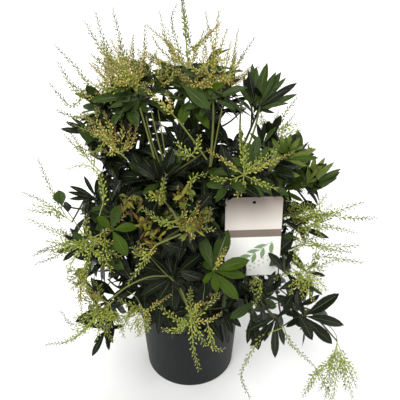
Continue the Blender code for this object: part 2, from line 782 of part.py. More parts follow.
def make_compost(collection, material):
    """A solid plug that fills the pot to its level, a little heaped round the trunk."""
    _, inside = pot_profile()
    (low_radius, low), (high_radius, high) = inside[3:5]
    wall = low_radius + (high_radius - low_radius) * (COMPOST_LEVEL - low) / (high - low)
    top = COMPOST_LEVEL + COMPOST_HEAP
    flat = STAKE_FOOT.xy.length + STAKE_WIDTH
    profile = [(0, top), (flat * 0.5, top), (flat, top), (wall - CLEAR, COMPOST_LEVEL)]
    profile += [(r - CLEAR, z + CLEAR) for r, z in inside[3:0:-1]] + [(0, inside[0][1] + CLEAR)]
    return mesh_object("compost", turned_mesh("compost", profile, POT_SIDES // 2), collection, material)


def card_matrix():
    tilt = Matrix.Rotation(math.radians(90 - CARD_TILT), 4, "X")
    turn = Matrix.Rotation(math.radians(CARD_TURN), 4, "Z")
    return Matrix.Translation(CARD_CENTRE) @ turn @ tilt


def rounded_rectangle(width, height, radius, steps=3):
    loop = []
    for corner, (sx, sy) in enumerate([(1, 1), (-1, 1), (-1, -1), (1, -1)]):
        centre = Vector((sx * (width / 2 - radius), sy * (height / 2 - radius)))
        for i in range(steps + 1):
            turn = math.radians(90 * (corner + i / steps))
            loop.append((centre.x + radius * math.cos(turn), centre.y + radius * math.sin(turn)))
    return loop


def make_label(collection, material):
    """The card with its punched hole, and the stake that carries it, fused in one."""
    hole_y = CARD_HEIGHT / 2 - CARD_HOLE_DROP
    hole = [
        (CARD_HOLE_RADIUS * math.cos(math.tau * i / 8), hole_y + CARD_HOLE_RADIUS * math.sin(math.tau * i / 8))
        for i in range(8)
    ]
    outline = [rounded_rectangle(CARD_WIDTH, CARD_HEIGHT, CARD_CORNER), hole]
    card = outline_object("card", outline, CARD_THICKNESS, collection)
    card.transform(card_matrix())
    top = card_matrix() @ Vector((0, -CARD_HEIGHT / 2 + 0.030, 0))
    run = top - STAKE_FOOT
    half = STAKE_WIDTH / 2
    sole = 0.25 * STAKE_WIDTH
    blade = [[(0, -sole), (0, sole), (0.030, half), (run.length, half), (run.length, -half), (0.030, -half)]]
    stake = outline_object("stake", blade, STAKE_THICKNESS, collection)
    sideways = Vector((1, 0, 0))
    flat = frame_of(run, run.cross(sideways))
    stake.transform(Matrix.Translation(STAKE_FOOT) @ flat.to_4x4())
    lowest = min(v.co.z for v in stake.vertices)
    stake.transform(Matrix.Translation((0, 0, STAKE_FOOT.z - lowest)))
    return fused("label", [card, stake], collection, material)


# Foliage


def tree_of(mesh):
    return BVHTree.FromPolygons([v.co for v in mesh.vertices], [f.vertices for f in mesh.polygons])


def trees_of(objects):
    """The search tree of each object as Blender evaluates it."""
    graph = bpy.context.evaluated_depsgraph_get()
    trees = []
    for obj in objects:
        mesh = bpy.data.meshes.new_from_object(obj.evaluated_get(graph))
        trees.append(tree_of(mesh))
        bpy.data.meshes.remove(mesh)
    return trees


def stem_tree(start, end):
    """The search tree of a mass's stem, which no other mass may cross."""
    mesh = limb_mesh([(start, STEM_RADIUS), (end, SHOOT_TIP_RADIUS)])
    tree = tree_of(mesh)
    bpy.data.meshes.remove(mesh)
    return tree


class Growth:
    """What has grown in one mass so far. It may cross nothing but its parent, at its own root."""

    def __init__(self, obstacles):
        self.obstacles = obstacles
        self.meshes = []
        self.trees = []

    def add(self, mesh, parent):
        """Keeps the mesh if it crosses nothing but its parent, and says whether it did."""
        tree = tree_of(mesh)
        others = [other for i, other in enumerate(self.trees) if i != parent]
        if any(tree.overlap(other) for other in others + self.obstacles):
            bpy.data.meshes.remove(mesh)
            return False
        self.meshes.append(mesh)
        self.trees.append(tree)
        return True


def grow_shoot(mass, number, shoot, room, grown):
    """Adds a shoot, with its panicle if it carries one. It returns the panicle's stalk."""
    base = SHOOT_RADIUS if number else STEM_RADIUS
    path = [(point, base) for point in shoot[:-1]] + [(shoot[-1], SHOOT_TIP_RADIUS)]
    stalks = stalk_choices(mass, number, shoot) if number < MASSES[mass][5] else ()
    for stalk in stalks:
        middle, end, tip = stalk
        widest = end.lerp(tip, RACEME_WIDEST)
        flowering = [(middle, PEDUNCLE_RADIUS), (end, PEDUNCLE_RADIUS)]
        flowering += [(widest, RACEME_RADIUS), (tip, RACEME_TIP_RADIUS)]
        if room.holds(stalk) and grown.add(limb_mesh(path + flowering), 0):
            return stalk
    if not grown.add(limb_mesh(path), 0) and not number:
        raise ValueError(f"the stem of {mass} crosses something")
    return None


def make_mass(mass, cells, paths, obstacles, collection, material):
    """One mass: stem, shoots, racemes and leaves that fit its room, fused in one."""
    room = Room(mass, cells, paths)
    grown = Growth(obstacles)
    shoots = shoots_of(mass, cells[mass][0], room)
    placed = []
    for number, shoot in enumerate(shoots):
        stalk = grow_shoot(mass, number, shoot, room, grown)
        if len(grown.meshes) > len(placed):
            placed.append((number, shoot, stalk))
    for parent, (number, _, stalk) in enumerate(placed):
        for i in range(SIDE_RACEMES if stalk else 0):
            for root, tip in raceme_choices(mass, number, stalk, i):
                run = [root.lerp(tip, 0.5), tip]
                if room.holds(run) and grown.add(raceme_mesh(root, tip), parent):
                    break
    for parent, (number, shoot, _) in enumerate(placed):
        count = SHOOT_LEAVES if number else LEADER_LEAVES
        for k in range(count):
            for leaf in leaf_choices(mass, number, shoot, k, count):
                if room.holds(leaf_points(*leaf)) and grown.add(leaf_mesh(*leaf), parent):
                    break
    return fused(mass, grown.meshes, collection, material)


def main():
    for obj in list(bpy.data.objects):
        bpy.data.objects.remove(obj)
    pieris = bpy.data.collections.new("potted_pieris")
    cutters = bpy.data.collections.new("cutters")
    for collection in (pieris, cutters):
        bpy.context.scene.collection.children.link(collection)

    plastic = make_material("pot_plastic", (0.035, 0.038, 0.042), 0.5)
    compost = make_material("compost", (0.020, 0.014, 0.010), 0.95)
    bark = make_material("bark", (0.120, 0.085, 0.055), 0.85)
    card = make_material("label_card", (0.62, 0.58, 0.54), 0.4)
    foliage = make_material("foliage", (0.035, 0.085, 0.022), 0.4)

    make_pot(pieris, cutters, plastic)
    make_compost(pieris, compost)
    make_label(pieris, card)
    paths = skeleton()
    for name, path in paths.items():
        limb_object(name, path, 12 if name == "trunk" else 6, pieris, bark)
    cells = {}
    for mass in MASSES:
        cells[mass] = (stem_start(mass, paths), mass_centre(mass))
    limbs = trees_of(pieris.objects)
    stems = {mass: stem_tree(*cells[mass]) for mass in MASSES}
    finished = []
    for mass in MASSES:
        others = [stem for name, stem in stems.items() if name != mass]
        made = make_mass(mass, cells, paths, limbs + others + finished, pieris, foliage)
        finished.append(tree_of(made.data))


if __name__ == "__main__":
    main()
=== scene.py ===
"""Potted pieris: the surfaces that show, grown and modelled round the packed frame.

Metres, +Z up, in the frame's own place. The crown follows the growth rule of the solids, carried on to finer
shoots, whorls of shaped leaves, and sprays of single buds.
"""

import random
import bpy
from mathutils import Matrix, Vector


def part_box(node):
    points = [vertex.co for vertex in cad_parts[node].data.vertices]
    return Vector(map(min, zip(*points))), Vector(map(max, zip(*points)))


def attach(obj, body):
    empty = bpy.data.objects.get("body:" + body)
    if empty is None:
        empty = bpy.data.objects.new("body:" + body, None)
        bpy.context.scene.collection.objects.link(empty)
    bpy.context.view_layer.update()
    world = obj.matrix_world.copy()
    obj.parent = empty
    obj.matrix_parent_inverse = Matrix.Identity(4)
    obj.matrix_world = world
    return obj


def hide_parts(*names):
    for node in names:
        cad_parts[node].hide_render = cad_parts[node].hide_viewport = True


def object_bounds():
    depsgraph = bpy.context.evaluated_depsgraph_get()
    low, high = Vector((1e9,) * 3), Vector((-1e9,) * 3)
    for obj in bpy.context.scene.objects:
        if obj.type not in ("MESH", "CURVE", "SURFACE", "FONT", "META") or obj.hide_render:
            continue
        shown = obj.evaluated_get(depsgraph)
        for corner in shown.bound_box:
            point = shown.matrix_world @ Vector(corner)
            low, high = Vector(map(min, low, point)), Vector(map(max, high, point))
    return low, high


bl_info = {
    "name": "Potted pieris",
    "version": (1, 0, 0),
    "blender": (4, 5, 0),
    "location": "View3D > Sidebar > Pieris",
    "description": "Dresses a potted pieris: pot, compost, label, bark, leaves and sprays of buds",
    "category": "Add Mesh",
}

from collections import namedtuple
from functools import lru_cache
from itertools import pairwise
from math import cos, hypot, inf, pi, radians, sin, sqrt, tau
from types import SimpleNamespace

import bmesh
import bpy
import numpy as np
from mathutils import Matrix, Vector, noise

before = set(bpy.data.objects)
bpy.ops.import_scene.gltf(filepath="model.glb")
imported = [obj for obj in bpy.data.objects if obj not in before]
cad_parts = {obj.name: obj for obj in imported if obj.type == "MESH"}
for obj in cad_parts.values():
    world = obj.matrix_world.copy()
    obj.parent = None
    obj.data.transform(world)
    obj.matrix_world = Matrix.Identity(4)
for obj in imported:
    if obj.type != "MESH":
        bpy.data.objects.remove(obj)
CAD_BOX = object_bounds()

MM = 0.001
CLEAR = 0.3 * MM
BODY = "root"

# Places and sizes of the solids that this file grows round

POT_HEIGHT = 0.175
POT_LIP_RADIUS = 0.107
POT_FOOT_RADIUS = 0.0935
COMPOST_LEVEL = 0.158
COMPOST_HEAP = 3.0 * MM
CARD_WIDTH = 0.100
CARD_HEIGHT = 0.160
CARD_CENTRE = Vector((0.116, -0.108, 0.405))
CARD_TILT = 6
CARD_TURN = 3
STAKE_FOOT = Vector((0.066, -0.050, COMPOST_LEVEL + COMPOST_HEAP + CLEAR))
STAKE_WIDTH = 0.012

TRUNK_RADII = (0.0170, 0.0130, 0.0112, 0.0100)
TRUNK_SHARES = (0.0, 0.14, 0.45, 1.0)
TRUNK_HEIGHT = 0.085
TRUNK_LEAN = Vector((-0.004, 0.003, 0.0))

# Growth: the same sizes as the solids' rule
STEM_LENGTH = 0.080
SHOOT_LENGTH = 0.052
SHOOT_SPREAD = 50
STEM_RADIUS = 2.6 * MM
SHOOT_RADIUS = 2.0 * MM
SHOOT_TIP_RADIUS = 1.6 * MM
GOLDEN_ANGLE = 137.5
PEDUNCLE_LENGTH = 0.040
RACEME_LENGTH = 0.095
RACEME_SPREAD = 52
SIDE_RACEMES = 3
TRIES = ((0, 1.0), (24, 1.0), (-24, 1.0), (0, 0.84), (40, 0.84), (-40, 0.84), (0, 0.68), (60, 0.68))
LIMB_MARGIN = 1.2 * MM
CELL_MARGIN = 0.4 * MM
POT_MARGIN = 2.0 * MM
CARD_MARGIN = 3.0 * MM
CARD_BORDER = 4.0 * MM

# The crown's outline as heights with how far out growth may reach there
CROWN_PROFILE = (
    (0.03, 0.33), (0.12, 0.35), (0.22, 0.325), (0.47, 0.32), (0.60, 0.275), (0.70, 0.25), (0.76, 0.18), (0.80, 0.08),
)

# Masses of foliage: azimuth, reach and height of the middle whorl, lean of its shoot above level, side
# shoots, how many shoots carry a panicle, how far panicles droop from 0 to 1, how leafy the mass is, how
# many more panicles its flowering shoots carry, and the tone of each shoot's leaves, the leader's first.
# The last three are its habit, and are left out where that is the usual one
USUAL_HABIT = (1.1, 0, "mmdm")
FIELDS = "azimuth reach height lean side_shoots flowering droop leafy more tones"
Mass = namedtuple("Mass", FIELDS, defaults=USUAL_HABIT)
MASSES = {name: Mass(*row) for name, *row in (
    ("crown_right", 0, 0.034, 0.658, 84, 3, 3, 0.0, 0.8, 1, "dfdd"),
    ("crown_back", 88, 0.065, 0.65, 80, 3, 3, 0.0, 0.9, 1, "ddfd"),
    ("crown_left", 202, 0.084, 0.665, 74, 3, 3, 0.0, 0.85, 1, "dfdd"),
    ("shoulder_left", 189, 0.142, 0.612, 60, 3, 3, 0.05, 1.0, 1, "ddmd"),
    ("side_left_high", 199, 0.175, 0.545, 42, 3, 2, 0.1, 0.9, 1, "mdmm"),
    ("middle_high", 253, 0.145, 0.54, 52, 3, 0, 0.3, 1.25, 0, "mmmm"),
    ("middle", 270, 0.19, 0.49, 40, 3, 2, 0.15, 0.55, 0, "mmmm"),
    ("middle_left", 233, 0.19, 0.48, 40, 2, 2, 0.4, 0.7, 0, "mmdm"),
    ("front_left", 226, 0.228, 0.42, 25, 3, 3, 0.35, 0.55, 1, "dmmd"),
    ("left_out", 192, 0.19, 0.447, 34, 3, 2, 0.2, 0.85, 0, "mmmm"),
    ("left_low", 219, 0.22, 0.262, 14, 3, 3, 0.3, 0.45, 1, "mmmm"),
    ("left_low_back", 190, 0.18, 0.305, 20, 3, 1, 0.3, 0.3, 0, "mmmm"),
    ("inner_left", 165, 0.075, 0.4, 60, 2, 0, 0.0, 1.9, 0, "mmmm"),
    ("inner_top", 285, 0.055, 0.48, 75, 3, 0, 0.0, 1.9, 0, "mmmm"),
    ("front_rosette", 262, 0.188, 0.385, 32, 2, 1, 0.9, 0.15, 0, "mmm"),
    ("front_bright", 285, 0.205, 0.42, 42, 2, 1, 0.3, 0.2, 0, "mmm"),
    ("front_low", 274, 0.15, 0.272, 24, 3, 2, 0.75, 0.55, 0, "mmmm"),
    ("front_low_right", 308, 0.212, 0.305, 12, 3, 2, 0.8, 0.5, 0, "mmmm"),
    ("right_low", 333, 0.258, 0.242, 2, 3, 3, 0.9, 0.35, 0, "mmmm"),
    ("right_middle", 338, 0.19, 0.345, 18, 3, 3, 0.25, 0.8, 1, "mmmm"),
    ("right_side", 354, 0.185, 0.41, 26, 3, 3, 0.2, 0.75, 2, "dmmm"),
    ("right_out", 8, 0.238, 0.465, 42, 3, 0, 0.15, 0.7, 0, "mgdm"),
    ("right_high", 343, 0.176, 0.54, 52, 3, 0, 0.1, 0.7, 0, "mgdm"),
    ("right_star", 309, 0.16, 0.535, 48, 2, 3, 0.25, 0.7, 0, "dmd"),
    ("crown_right_out", 20, 0.145, 0.598, 68, 3, 0, 0.0, 0.4, 0, "mdmm"),
    ("back_right_high", 62, 0.15, 0.56, 60, 3, 2, 0.1),
    ("back_right", 42, 0.205, 0.43, 34, 3, 2, 0.2),
    ("back_right_low", 38, 0.21, 0.285, 14, 3, 2, 0.4),
    ("back", 92, 0.195, 0.4, 34, 3, 2, 0.3),
    ("back_left_high", 138, 0.16, 0.545, 55, 3, 2, 0.1),
    ("back_left", 150, 0.21, 0.415, 32, 3, 2, 0.2),
    ("back_left_low", 135, 0.205, 0.275, 14, 3, 2, 0.4),
)}

# Boughs: what each grows from and how far along it, its radius at the base, and the masses at its tip
Bough = namedtuple("Bough", "parent share radius masses")
BOUGHS = {name: Bough(*row) for name, *row in (
    ("limb_top", "trunk", 1.00, 0.0058, ("crown_right", "crown_back")),
    ("limb_left_high", "trunk", 0.70, 0.0055, ("crown_left", "shoulder_left")),
    ("limb_left", "trunk", 0.48, 0.0055, ("middle_left", "front_left")),
    ("limb_front", "trunk", 0.60, 0.0055, ("front_rosette", "front_bright")),
    ("limb_right", "trunk", 0.45, 0.0055, ("right_middle", "right_side")),
    ("limb_right_high", "trunk", 0.82, 0.0055, ("right_high", "right_star")),
    ("limb_back_right", "trunk", 0.66, 0.0055, ("back_right",)),
    ("limb_back_left", "trunk", 0.36, 0.0055, ("back",)),
    ("bough_crown_right_out", "limb_top", 0.55, 0.0038, ("crown_right_out",)),
    ("bough_back_left_high", "limb_top", 0.40, 0.0038, ("back_left_high",)),
    ("bough_middle_high", "limb_top", 0.30, 0.0038, ("middle_high", "inner_top")),
    ("bough_side_left_high", "limb_left_high", 0.45, 0.0038, ("side_left_high",)),
    ("bough_left_out", "limb_left_high", 0.25, 0.0038, ("left_out",)),
    ("bough_left_low", "limb_left", 0.22, 0.0040, ("left_low", "left_low_back")),
    ("bough_middle", "limb_front", 0.55, 0.0036, ("middle",)),
    ("bough_front_low", "trunk", 0.22, 0.0042, ("front_low",)),
    ("bough_front_low_right", "limb_right", 0.22, 0.0038, ("front_low_right",)),
    ("bough_right_low", "limb_right", 0.40, 0.0038, ("right_low",)),
    ("bough_right_out", "limb_right_high", 0.30, 0.0038, ("right_out",)),
    ("bough_back_right_high", "limb_back_right", 0.50, 0.0038, ("back_right_high",)),
    ("bough_back_right_low", "limb_back_right", 0.25, 0.0038, ("back_right_low",)),
    ("bough_back_left", "limb_back_left", 0.40, 0.0038, ("back_left",)),
    ("bough_back_left_low", "limb_back_left", 0.22, 0.0038, ("back_left_low",)),
)}
INNER_MASSES = {"inner_left": 0.92}
BOUGH_TIP_RADIUS = 2.8 * MM
BOUGH_POINTS = 6
BOUGH_ARRIVAL = 0.45
BOUGH_STRAIGHT = 0.85
BOUGH_SHIFTS = (0, 0.04, -0.04, 0.08, -0.08, 0.14, -0.14, 0.2, -0.2)
LIMB_SPACING = 1.0 * MM
LIMB_JOINT = 0.05 * MM
DISC_SPOKES = 12
FARTHEST_START = 0.05
HALVINGS = 24
LIMB_SETTING_OFF = (0.7, 0.5, 0.9, 1.2)
BOUGH_SETTING_OFF = (-0.001, -0.2, 0.2, -0.4, 0.4, -0.7, 0.7)

# What the finer growth adds to the rule
WHORL_LEAVES = {"leader": 12, "side": 9}
LOWER_LEAVES = 2
SPUR_LEAVES = 7
WHORL_DEPTH = 0.018
UPRIGHT_DEPTH = 0.040
SPREAD_SPLAY = (56, 100)
BARE_SPLAY = (44, 84)
UPRIGHT_SPLAY = (14, 78)
EXTRA_SHOOTS = 2
EXTRA_RACEMES = 5
SPUR_GAP = 0.022
HIGHEST_SPUR = 0.56
SPUR_LENGTH = (0.020, 0.040)
LONGEST_TWIG = 0.09
TUFT_LEAVES = 40
TUFT_SPREAD = 0.38
ROUND_WIDTH = 2.3
USUAL_TONE = 0.85
# How far a leaf's tip bends down at least, and how much more at most, in shares of its length
LEAST_ARCH = 0.07
MORE_ARCH = 0.16
# How far finer growth may reach beyond its mass's room, and beyond the box of the solids
CELL_SLACK = 0.016
BOX_SLACK = 0.018
FLOOR_CLEARANCE = 4.0 * MM
# Shares of a leaf's length at which it is kept out of the windows of open sky
SKY_TEST_SHARES = (0.45, 0.72, 1.0)

# Tones of leaves by their letters
TONES = {"m": "mature", "d": "glossy", "g": "green", "f": "fresh", "b": "bronze", "y": "golden"}

# Kinds of racemes: the tones of the buds in the lower part and near the tip, the buds' spacing and size, and
# how far their stalks spread them
RACEMES = {
    "lime": ("lllllo", "llog", 1.0, 0.92, 1.8),
    "olive": ("loooo", "ooott", 0.95, 0.92, 1.8),
    "gold": ("gggggglo", "gggccct", 0.80, 0.82, 1.1),
    "copper": ("gggcco", "ccctt", 0.80, 0.82, 1.0),
    "thin": ("oooo", "ttttt", 1.15, 0.92, 1.0),
}
BUD_TONES = {"l": "lime", "g": "gold", "o": "olive", "c": "copper", "t": "tip"}

# High masses whose stems show bare below their whorls
BARE_STEMS = ("crown_right", "crown_back", "crown_left", "crown_right_out")

# Twigs with a pair of round leaves: the mass, the twig's tip, and its leaves' lengths
ROUND_LEAVED = {"left_out": (Vector((-0.221, -0.080, 0.453)), (0.029, 0.021))}

# Places are across and down a front view that is this wide and high
VIEW_SIZE = 400
VIEW_AIM = Vector((0.022, 0.0, 0.414))
SENSOR_WIDTH = 36

# Sprays that show from the front: the mass that bears each, how much nearer the front it stands in metres, the
# place of its root, the letter of each raceme's kind, and the places that each passes on its way to its tip
FRONT_SPRAYS = (
    ("crown_left", 0.01, 138, 94, "ccgtgcggllgglcgcgg", (134, 67, 133, 43), (144, 62, 145, 25), (122, 63, 110, 38),
     (109, 53, 95, 12), (118, 71, 104, 60), (149, 68, 157, 50), (155, 80, 163, 70), (113, 84, 91, 65),
     (109, 90, 97, 78), (128, 76, 119, 55), (139, 70, 139, 52), (128, 84, 112, 70), (133, 80, 126, 66),
     (126, 66, 120, 40), (146, 72, 152, 56), (116, 78, 98, 56), (142, 80, 148, 70), (122, 84, 104, 74)),
    ("crown_left", 0.05, 207, 160, "b", (193, 140, 178, 120)),
    ("crown_left", 0.05, 178, 120, "gg", (164, 106, 142, 86), (170, 104, 166, 92)),
    ("shoulder_left", 0.0, 104, 122, "tttttcgcgggl", (84, 78, 54, 44), (76, 92, 58, 62), (84, 92, 70, 82),
     (72, 106, 49, 83), (76, 117, 56, 110), (107, 88, 105, 58), (106, 80, 89, 63), (101, 98, 92, 88),
     (112, 100, 118, 78), (110, 96, 104, 76), (98, 104, 82, 90), (116, 104, 124, 88)),
    ("side_left_high", 0.06, 128, 160, "gccggcgcgtgtc", (112, 146, 94, 126, 78, 112), (128, 142, 131, 122),
     (132, 144, 137, 126), (122, 140, 121, 118), (112, 134, 104, 112), (104, 130, 86, 116), (106, 138, 88, 128),
     (116, 136, 112, 120), (100, 126, 96, 108), (96, 152, 76, 146), (112, 154, 100, 148), (90, 132, 66, 122),
     (124, 148, 128, 134)),
    ("crown_left", 0.0, 158, 92, "gcgg", (160, 74, 156, 54), (166, 76, 170, 58), (154, 78, 148, 64),
     (168, 82, 178, 70)),
    ("crown_right", 0.02, 213, 96, "cgggtcggcggggcggcgcgc", (213, 50, 205, 11), (216, 38, 219, 10),
     (221, 48, 227, 29), (225, 60, 231, 42), (233, 69, 255, 37), (234, 84, 249, 71), (228, 78, 240, 68),
     (197, 71, 177, 55), (192, 79, 167, 61), (190, 82, 171, 68), (204, 86, 196, 79), (203, 60, 208, 27),
     (214, 72, 213, 46), (220, 88, 230, 74), (206, 72, 199, 58), (200, 76, 186, 62), (208, 66, 206, 44),
     (222, 72, 230, 56), (222, 82, 238, 78), (210, 84, 206, 70), (196, 88, 180, 78)),
    ("crown_back", 0.0, 186, 70, "ttgggggc", (189, 37, 181, 1), (172, 24, 177, 3), (168, 44, 162, 31),
     (161, 50, 152, 36), (198, 48, 204, 30), (196, 56, 190, 44), (176, 56, 168, 50), (172, 50, 164, 38)),
    ("right_high", -0.02, 276, 132, "lllto", (286, 127, 299, 124), (288, 133, 301, 130), (268, 124, 258, 123),
     (282, 118, 297, 98), (266, 130, 260, 116)),
    ("middle_high", 0.03, 196, 158, "llo", (184, 150, 177, 142), (198, 146, 199, 136), (186, 156, 174, 152)),
    ("right_star", 0.02, 244, 175, "llglllgll", (243, 153, 241, 127), (261, 164, 275, 149), (269, 164, 294, 152),
     (262, 184, 278, 189), (242, 189, 236, 196), (225, 181, 210, 177), (226, 162, 207, 150), (252, 166, 262, 156),
     (246, 164, 246, 150)),
    ("right_star", 0.02, 190, 190, "l", (193, 178, 207, 174)),
    ("right_star", 0.0, 214, 198, "w", (230, 183, 244, 175)),
    ("middle", 0.04, 181, 231, "bolgtggog", (176, 217, 166, 203), (163, 222, 142, 208), (198, 228, 214, 230),
     (194, 217, 199, 201), (205, 222, 212, 209), (192, 232, 192, 239), (185, 212, 182, 198), (172, 226, 154, 219),
     (188, 222, 206, 218)),
    ("middle", 0.05, 166, 203, "lt", (160, 198, 146, 198), (163, 186, 166, 174)),
    ("middle", 0.06, 181, 234, "b", (167, 240, 156, 245)),
    ("middle", 0.06, 156, 245, "o", (147, 256, 128, 284)),
    ("middle_left", 0.04, 150, 262, "gog", (144, 256, 138, 241), (140, 256, 132, 247), (150, 254, 156, 246)),
    ("middle_left", 0.02, 99, 217, "l", (104, 196, 98, 173, 84, 165, 68, 169)),
    ("left_out", 0.0, 72, 222, "tlttt", (46, 203, 22, 192), (50, 209, 32, 205), (48, 213, 27, 209),
     (60, 219, 51, 211), (54, 196, 38, 159)),
    ("front_left", 0.04, 89, 249, "glllllllttll", (107, 230, 127, 214), (86, 232, 87, 216), (107, 251, 121, 256),
     (104, 258, 112, 271), (100, 244, 116, 242), (87, 260, 86, 273), (75, 257, 67, 278), (66, 244, 45, 241),
     (56, 246, 32, 256), (56, 256, 36, 264), (99, 256, 104, 267), (78, 246, 58, 250)),
    ("front_left", 0.03, 88, 262, "lolloc", (82, 276, 80, 300), (78, 272, 67, 268), (78, 282, 70, 290),
     (86, 284, 90, 298), (76, 278, 68, 280), (80, 296, 82, 312)),
    ("front_rosette", 0.02, 168, 276, "b", (149, 277, 128, 286, 111, 299)),
    ("front_rosette", 0.03, 151, 258, "w", (160, 268, 168, 276)),
    ("left_low", 0.08, 114, 300, "locottlllloclllo", (98, 316, 84, 332, 64, 343), (92, 306, 79, 295),
     (84, 291, 69, 279), (100, 290, 90, 281), (76, 324, 60, 311), (72, 339, 45, 345), (106, 326, 113, 341),
     (116, 318, 124, 337), (92, 314, 73, 318), (100, 322, 97, 340), (92, 300, 76, 298), (86, 286, 78, 272),
     (88, 326, 72, 330), (110, 312, 120, 322), (120, 316, 130, 326), (112, 320, 104, 334)),
    ("left_low", 0.1, 127, 291, "w", (135, 296, 141, 305)),
    ("left_low", 0.1, 141, 305, "lgollglllo", (144, 316, 140, 335), (157, 303, 171, 295), (130, 305, 119, 300),
     (147, 320, 147, 333), (137, 318, 130, 330), (146, 310, 150, 322), (134, 310, 127, 318), (138, 322, 138, 337),
     (130, 314, 122, 330), (126, 316, 118, 322)),
    ("front_rosette", 0.03, 169, 276, "b", (181, 290, 189, 310)),
    ("front_rosette", 0.03, 189, 310, "lllglglolg", (192, 332, 194, 352, 199, 370), (174, 318, 161, 308),
     (176, 330, 163, 330), (203, 299, 218, 293), (203, 309, 220, 294), (207, 321, 221, 314), (200, 336, 205, 345),
     (190, 298, 191, 289), (183, 322, 179, 333), (198, 305, 209, 303)),
    ("front_rosette", 0.03, 207, 320, "l", (210, 336, 213, 347, 223, 350)),
    ("front_bright", 0.03, 213, 270, "c", (219, 262, 226, 247)),
    ("right_side", 0.04, 308, 228, "ootlootloolooooool", (330, 214, 364, 202), (314, 212, 307, 202),
     (346, 218, 376, 218), (319, 207, 327, 194), (302, 217, 285, 214), (300, 208, 286, 198), (335, 228, 356, 233),
     (311, 214, 302, 203), (326, 218, 342, 211), (306, 222, 290, 222), (320, 218, 332, 204), (304, 228, 292, 233),
     (316, 228, 324, 240), (298, 218, 288, 208), (306, 234, 302, 246), (296, 212, 294, 198), (318, 222, 332, 226),
     (314, 224, 326, 231)),
    ("right_middle", 0.02, 300, 245, "oooloto", (322, 246, 341, 247, 361, 245), (318, 256, 336, 258, 363, 263),
     (316, 266, 336, 260), (297, 240, 300, 229), (293, 252, 292, 266), (330, 250, 352, 252), (308, 240, 322, 236)),
    ("right_middle", 0.05, 300, 268, "llllolllloo", (306, 272, 316, 277, 327, 291), (302, 282, 303, 298),
     (294, 282, 291, 294), (311, 281, 322, 291), (286, 274, 275, 278), (296, 256, 297, 242), (306, 288, 315, 302),
     (308, 276, 318, 284), (300, 276, 297, 288), (310, 266, 324, 271), (296, 262, 288, 262)),
    ("front_low_right", 0.02, 262, 280, "olo", (253, 284, 252, 291), (258, 294, 255, 305), (256, 278, 250, 286)),
    ("right_low", 0.0, 312, 316, "w", (329, 326, 336, 335, 337, 341)),
    ("right_low", 0.02, 337, 341, "llloooooooo", (337, 370, 333, 399), (324, 366, 308, 392), (348, 362, 358, 380),
     (342, 367, 346, 390), (332, 364, 328, 382), (346, 372, 353, 398), (340, 362, 341, 378), (329, 370, 320, 390),
     (326, 364, 312, 376), (333, 374, 325, 398), (349, 370, 357, 388)),
    ("right_low", 0.02, 283, 326, "t", (291, 343, 313, 365)),
    ("right_low", 0.02, 313, 364, "oo", (324, 383, 331, 399), (312, 378, 303, 396)),
    ("front_low_right", 0.02, 282, 328, "t", (261, 338, 243, 368, 242, 380, 250, 398)),
)
SPRAY_KINDS = {"l": "lime", "o": "olive", "g": "gold", "c": "copper", "t": "thin"}
STALK_RADII = {"b": 1.5 * MM, "w": 0.8 * MM}
# Masses whose front racemes all leave one place
STARS = ("right_star", "crown_back")
# Masses that bear no panicles of the rule on the side that faces the front
BEARERS = {row[0] for row in FRONT_SPRAYS} | {"front_low"}

# Bare light stems that show through the gaps under the crown: the mass, nearness, radius in mm, and places
FRONT_STEMS = (
    ("crown_right", 0.02, 2.0, 213, 88, 213, 126, 210, 166),
    ("crown_right", 0.03, 1.2, 222, 108, 217, 134, 211, 166),
    ("crown_left", 0.03, 1.5, 140, 108, 147, 132, 155, 160),
    ("crown_left", 0.025, 1.3, 151, 110, 157, 136, 163, 160),
    ("crown_left", 0.02, 1.1, 158, 110, 162, 134, 166, 158),
    ("crown_left", 0.02, 1.0, 146, 116, 151, 138, 159, 162),
    ("left_out", 0.02, 0.9, 62, 205, 71, 216, 84, 236),
    ("crown_right_out", 0.02, 1.8, 241, 104, 240, 126, 240, 150),
    ("crown_right_out", 0.03, 2.0, 260, 106, 256, 124, 250, 142),
)

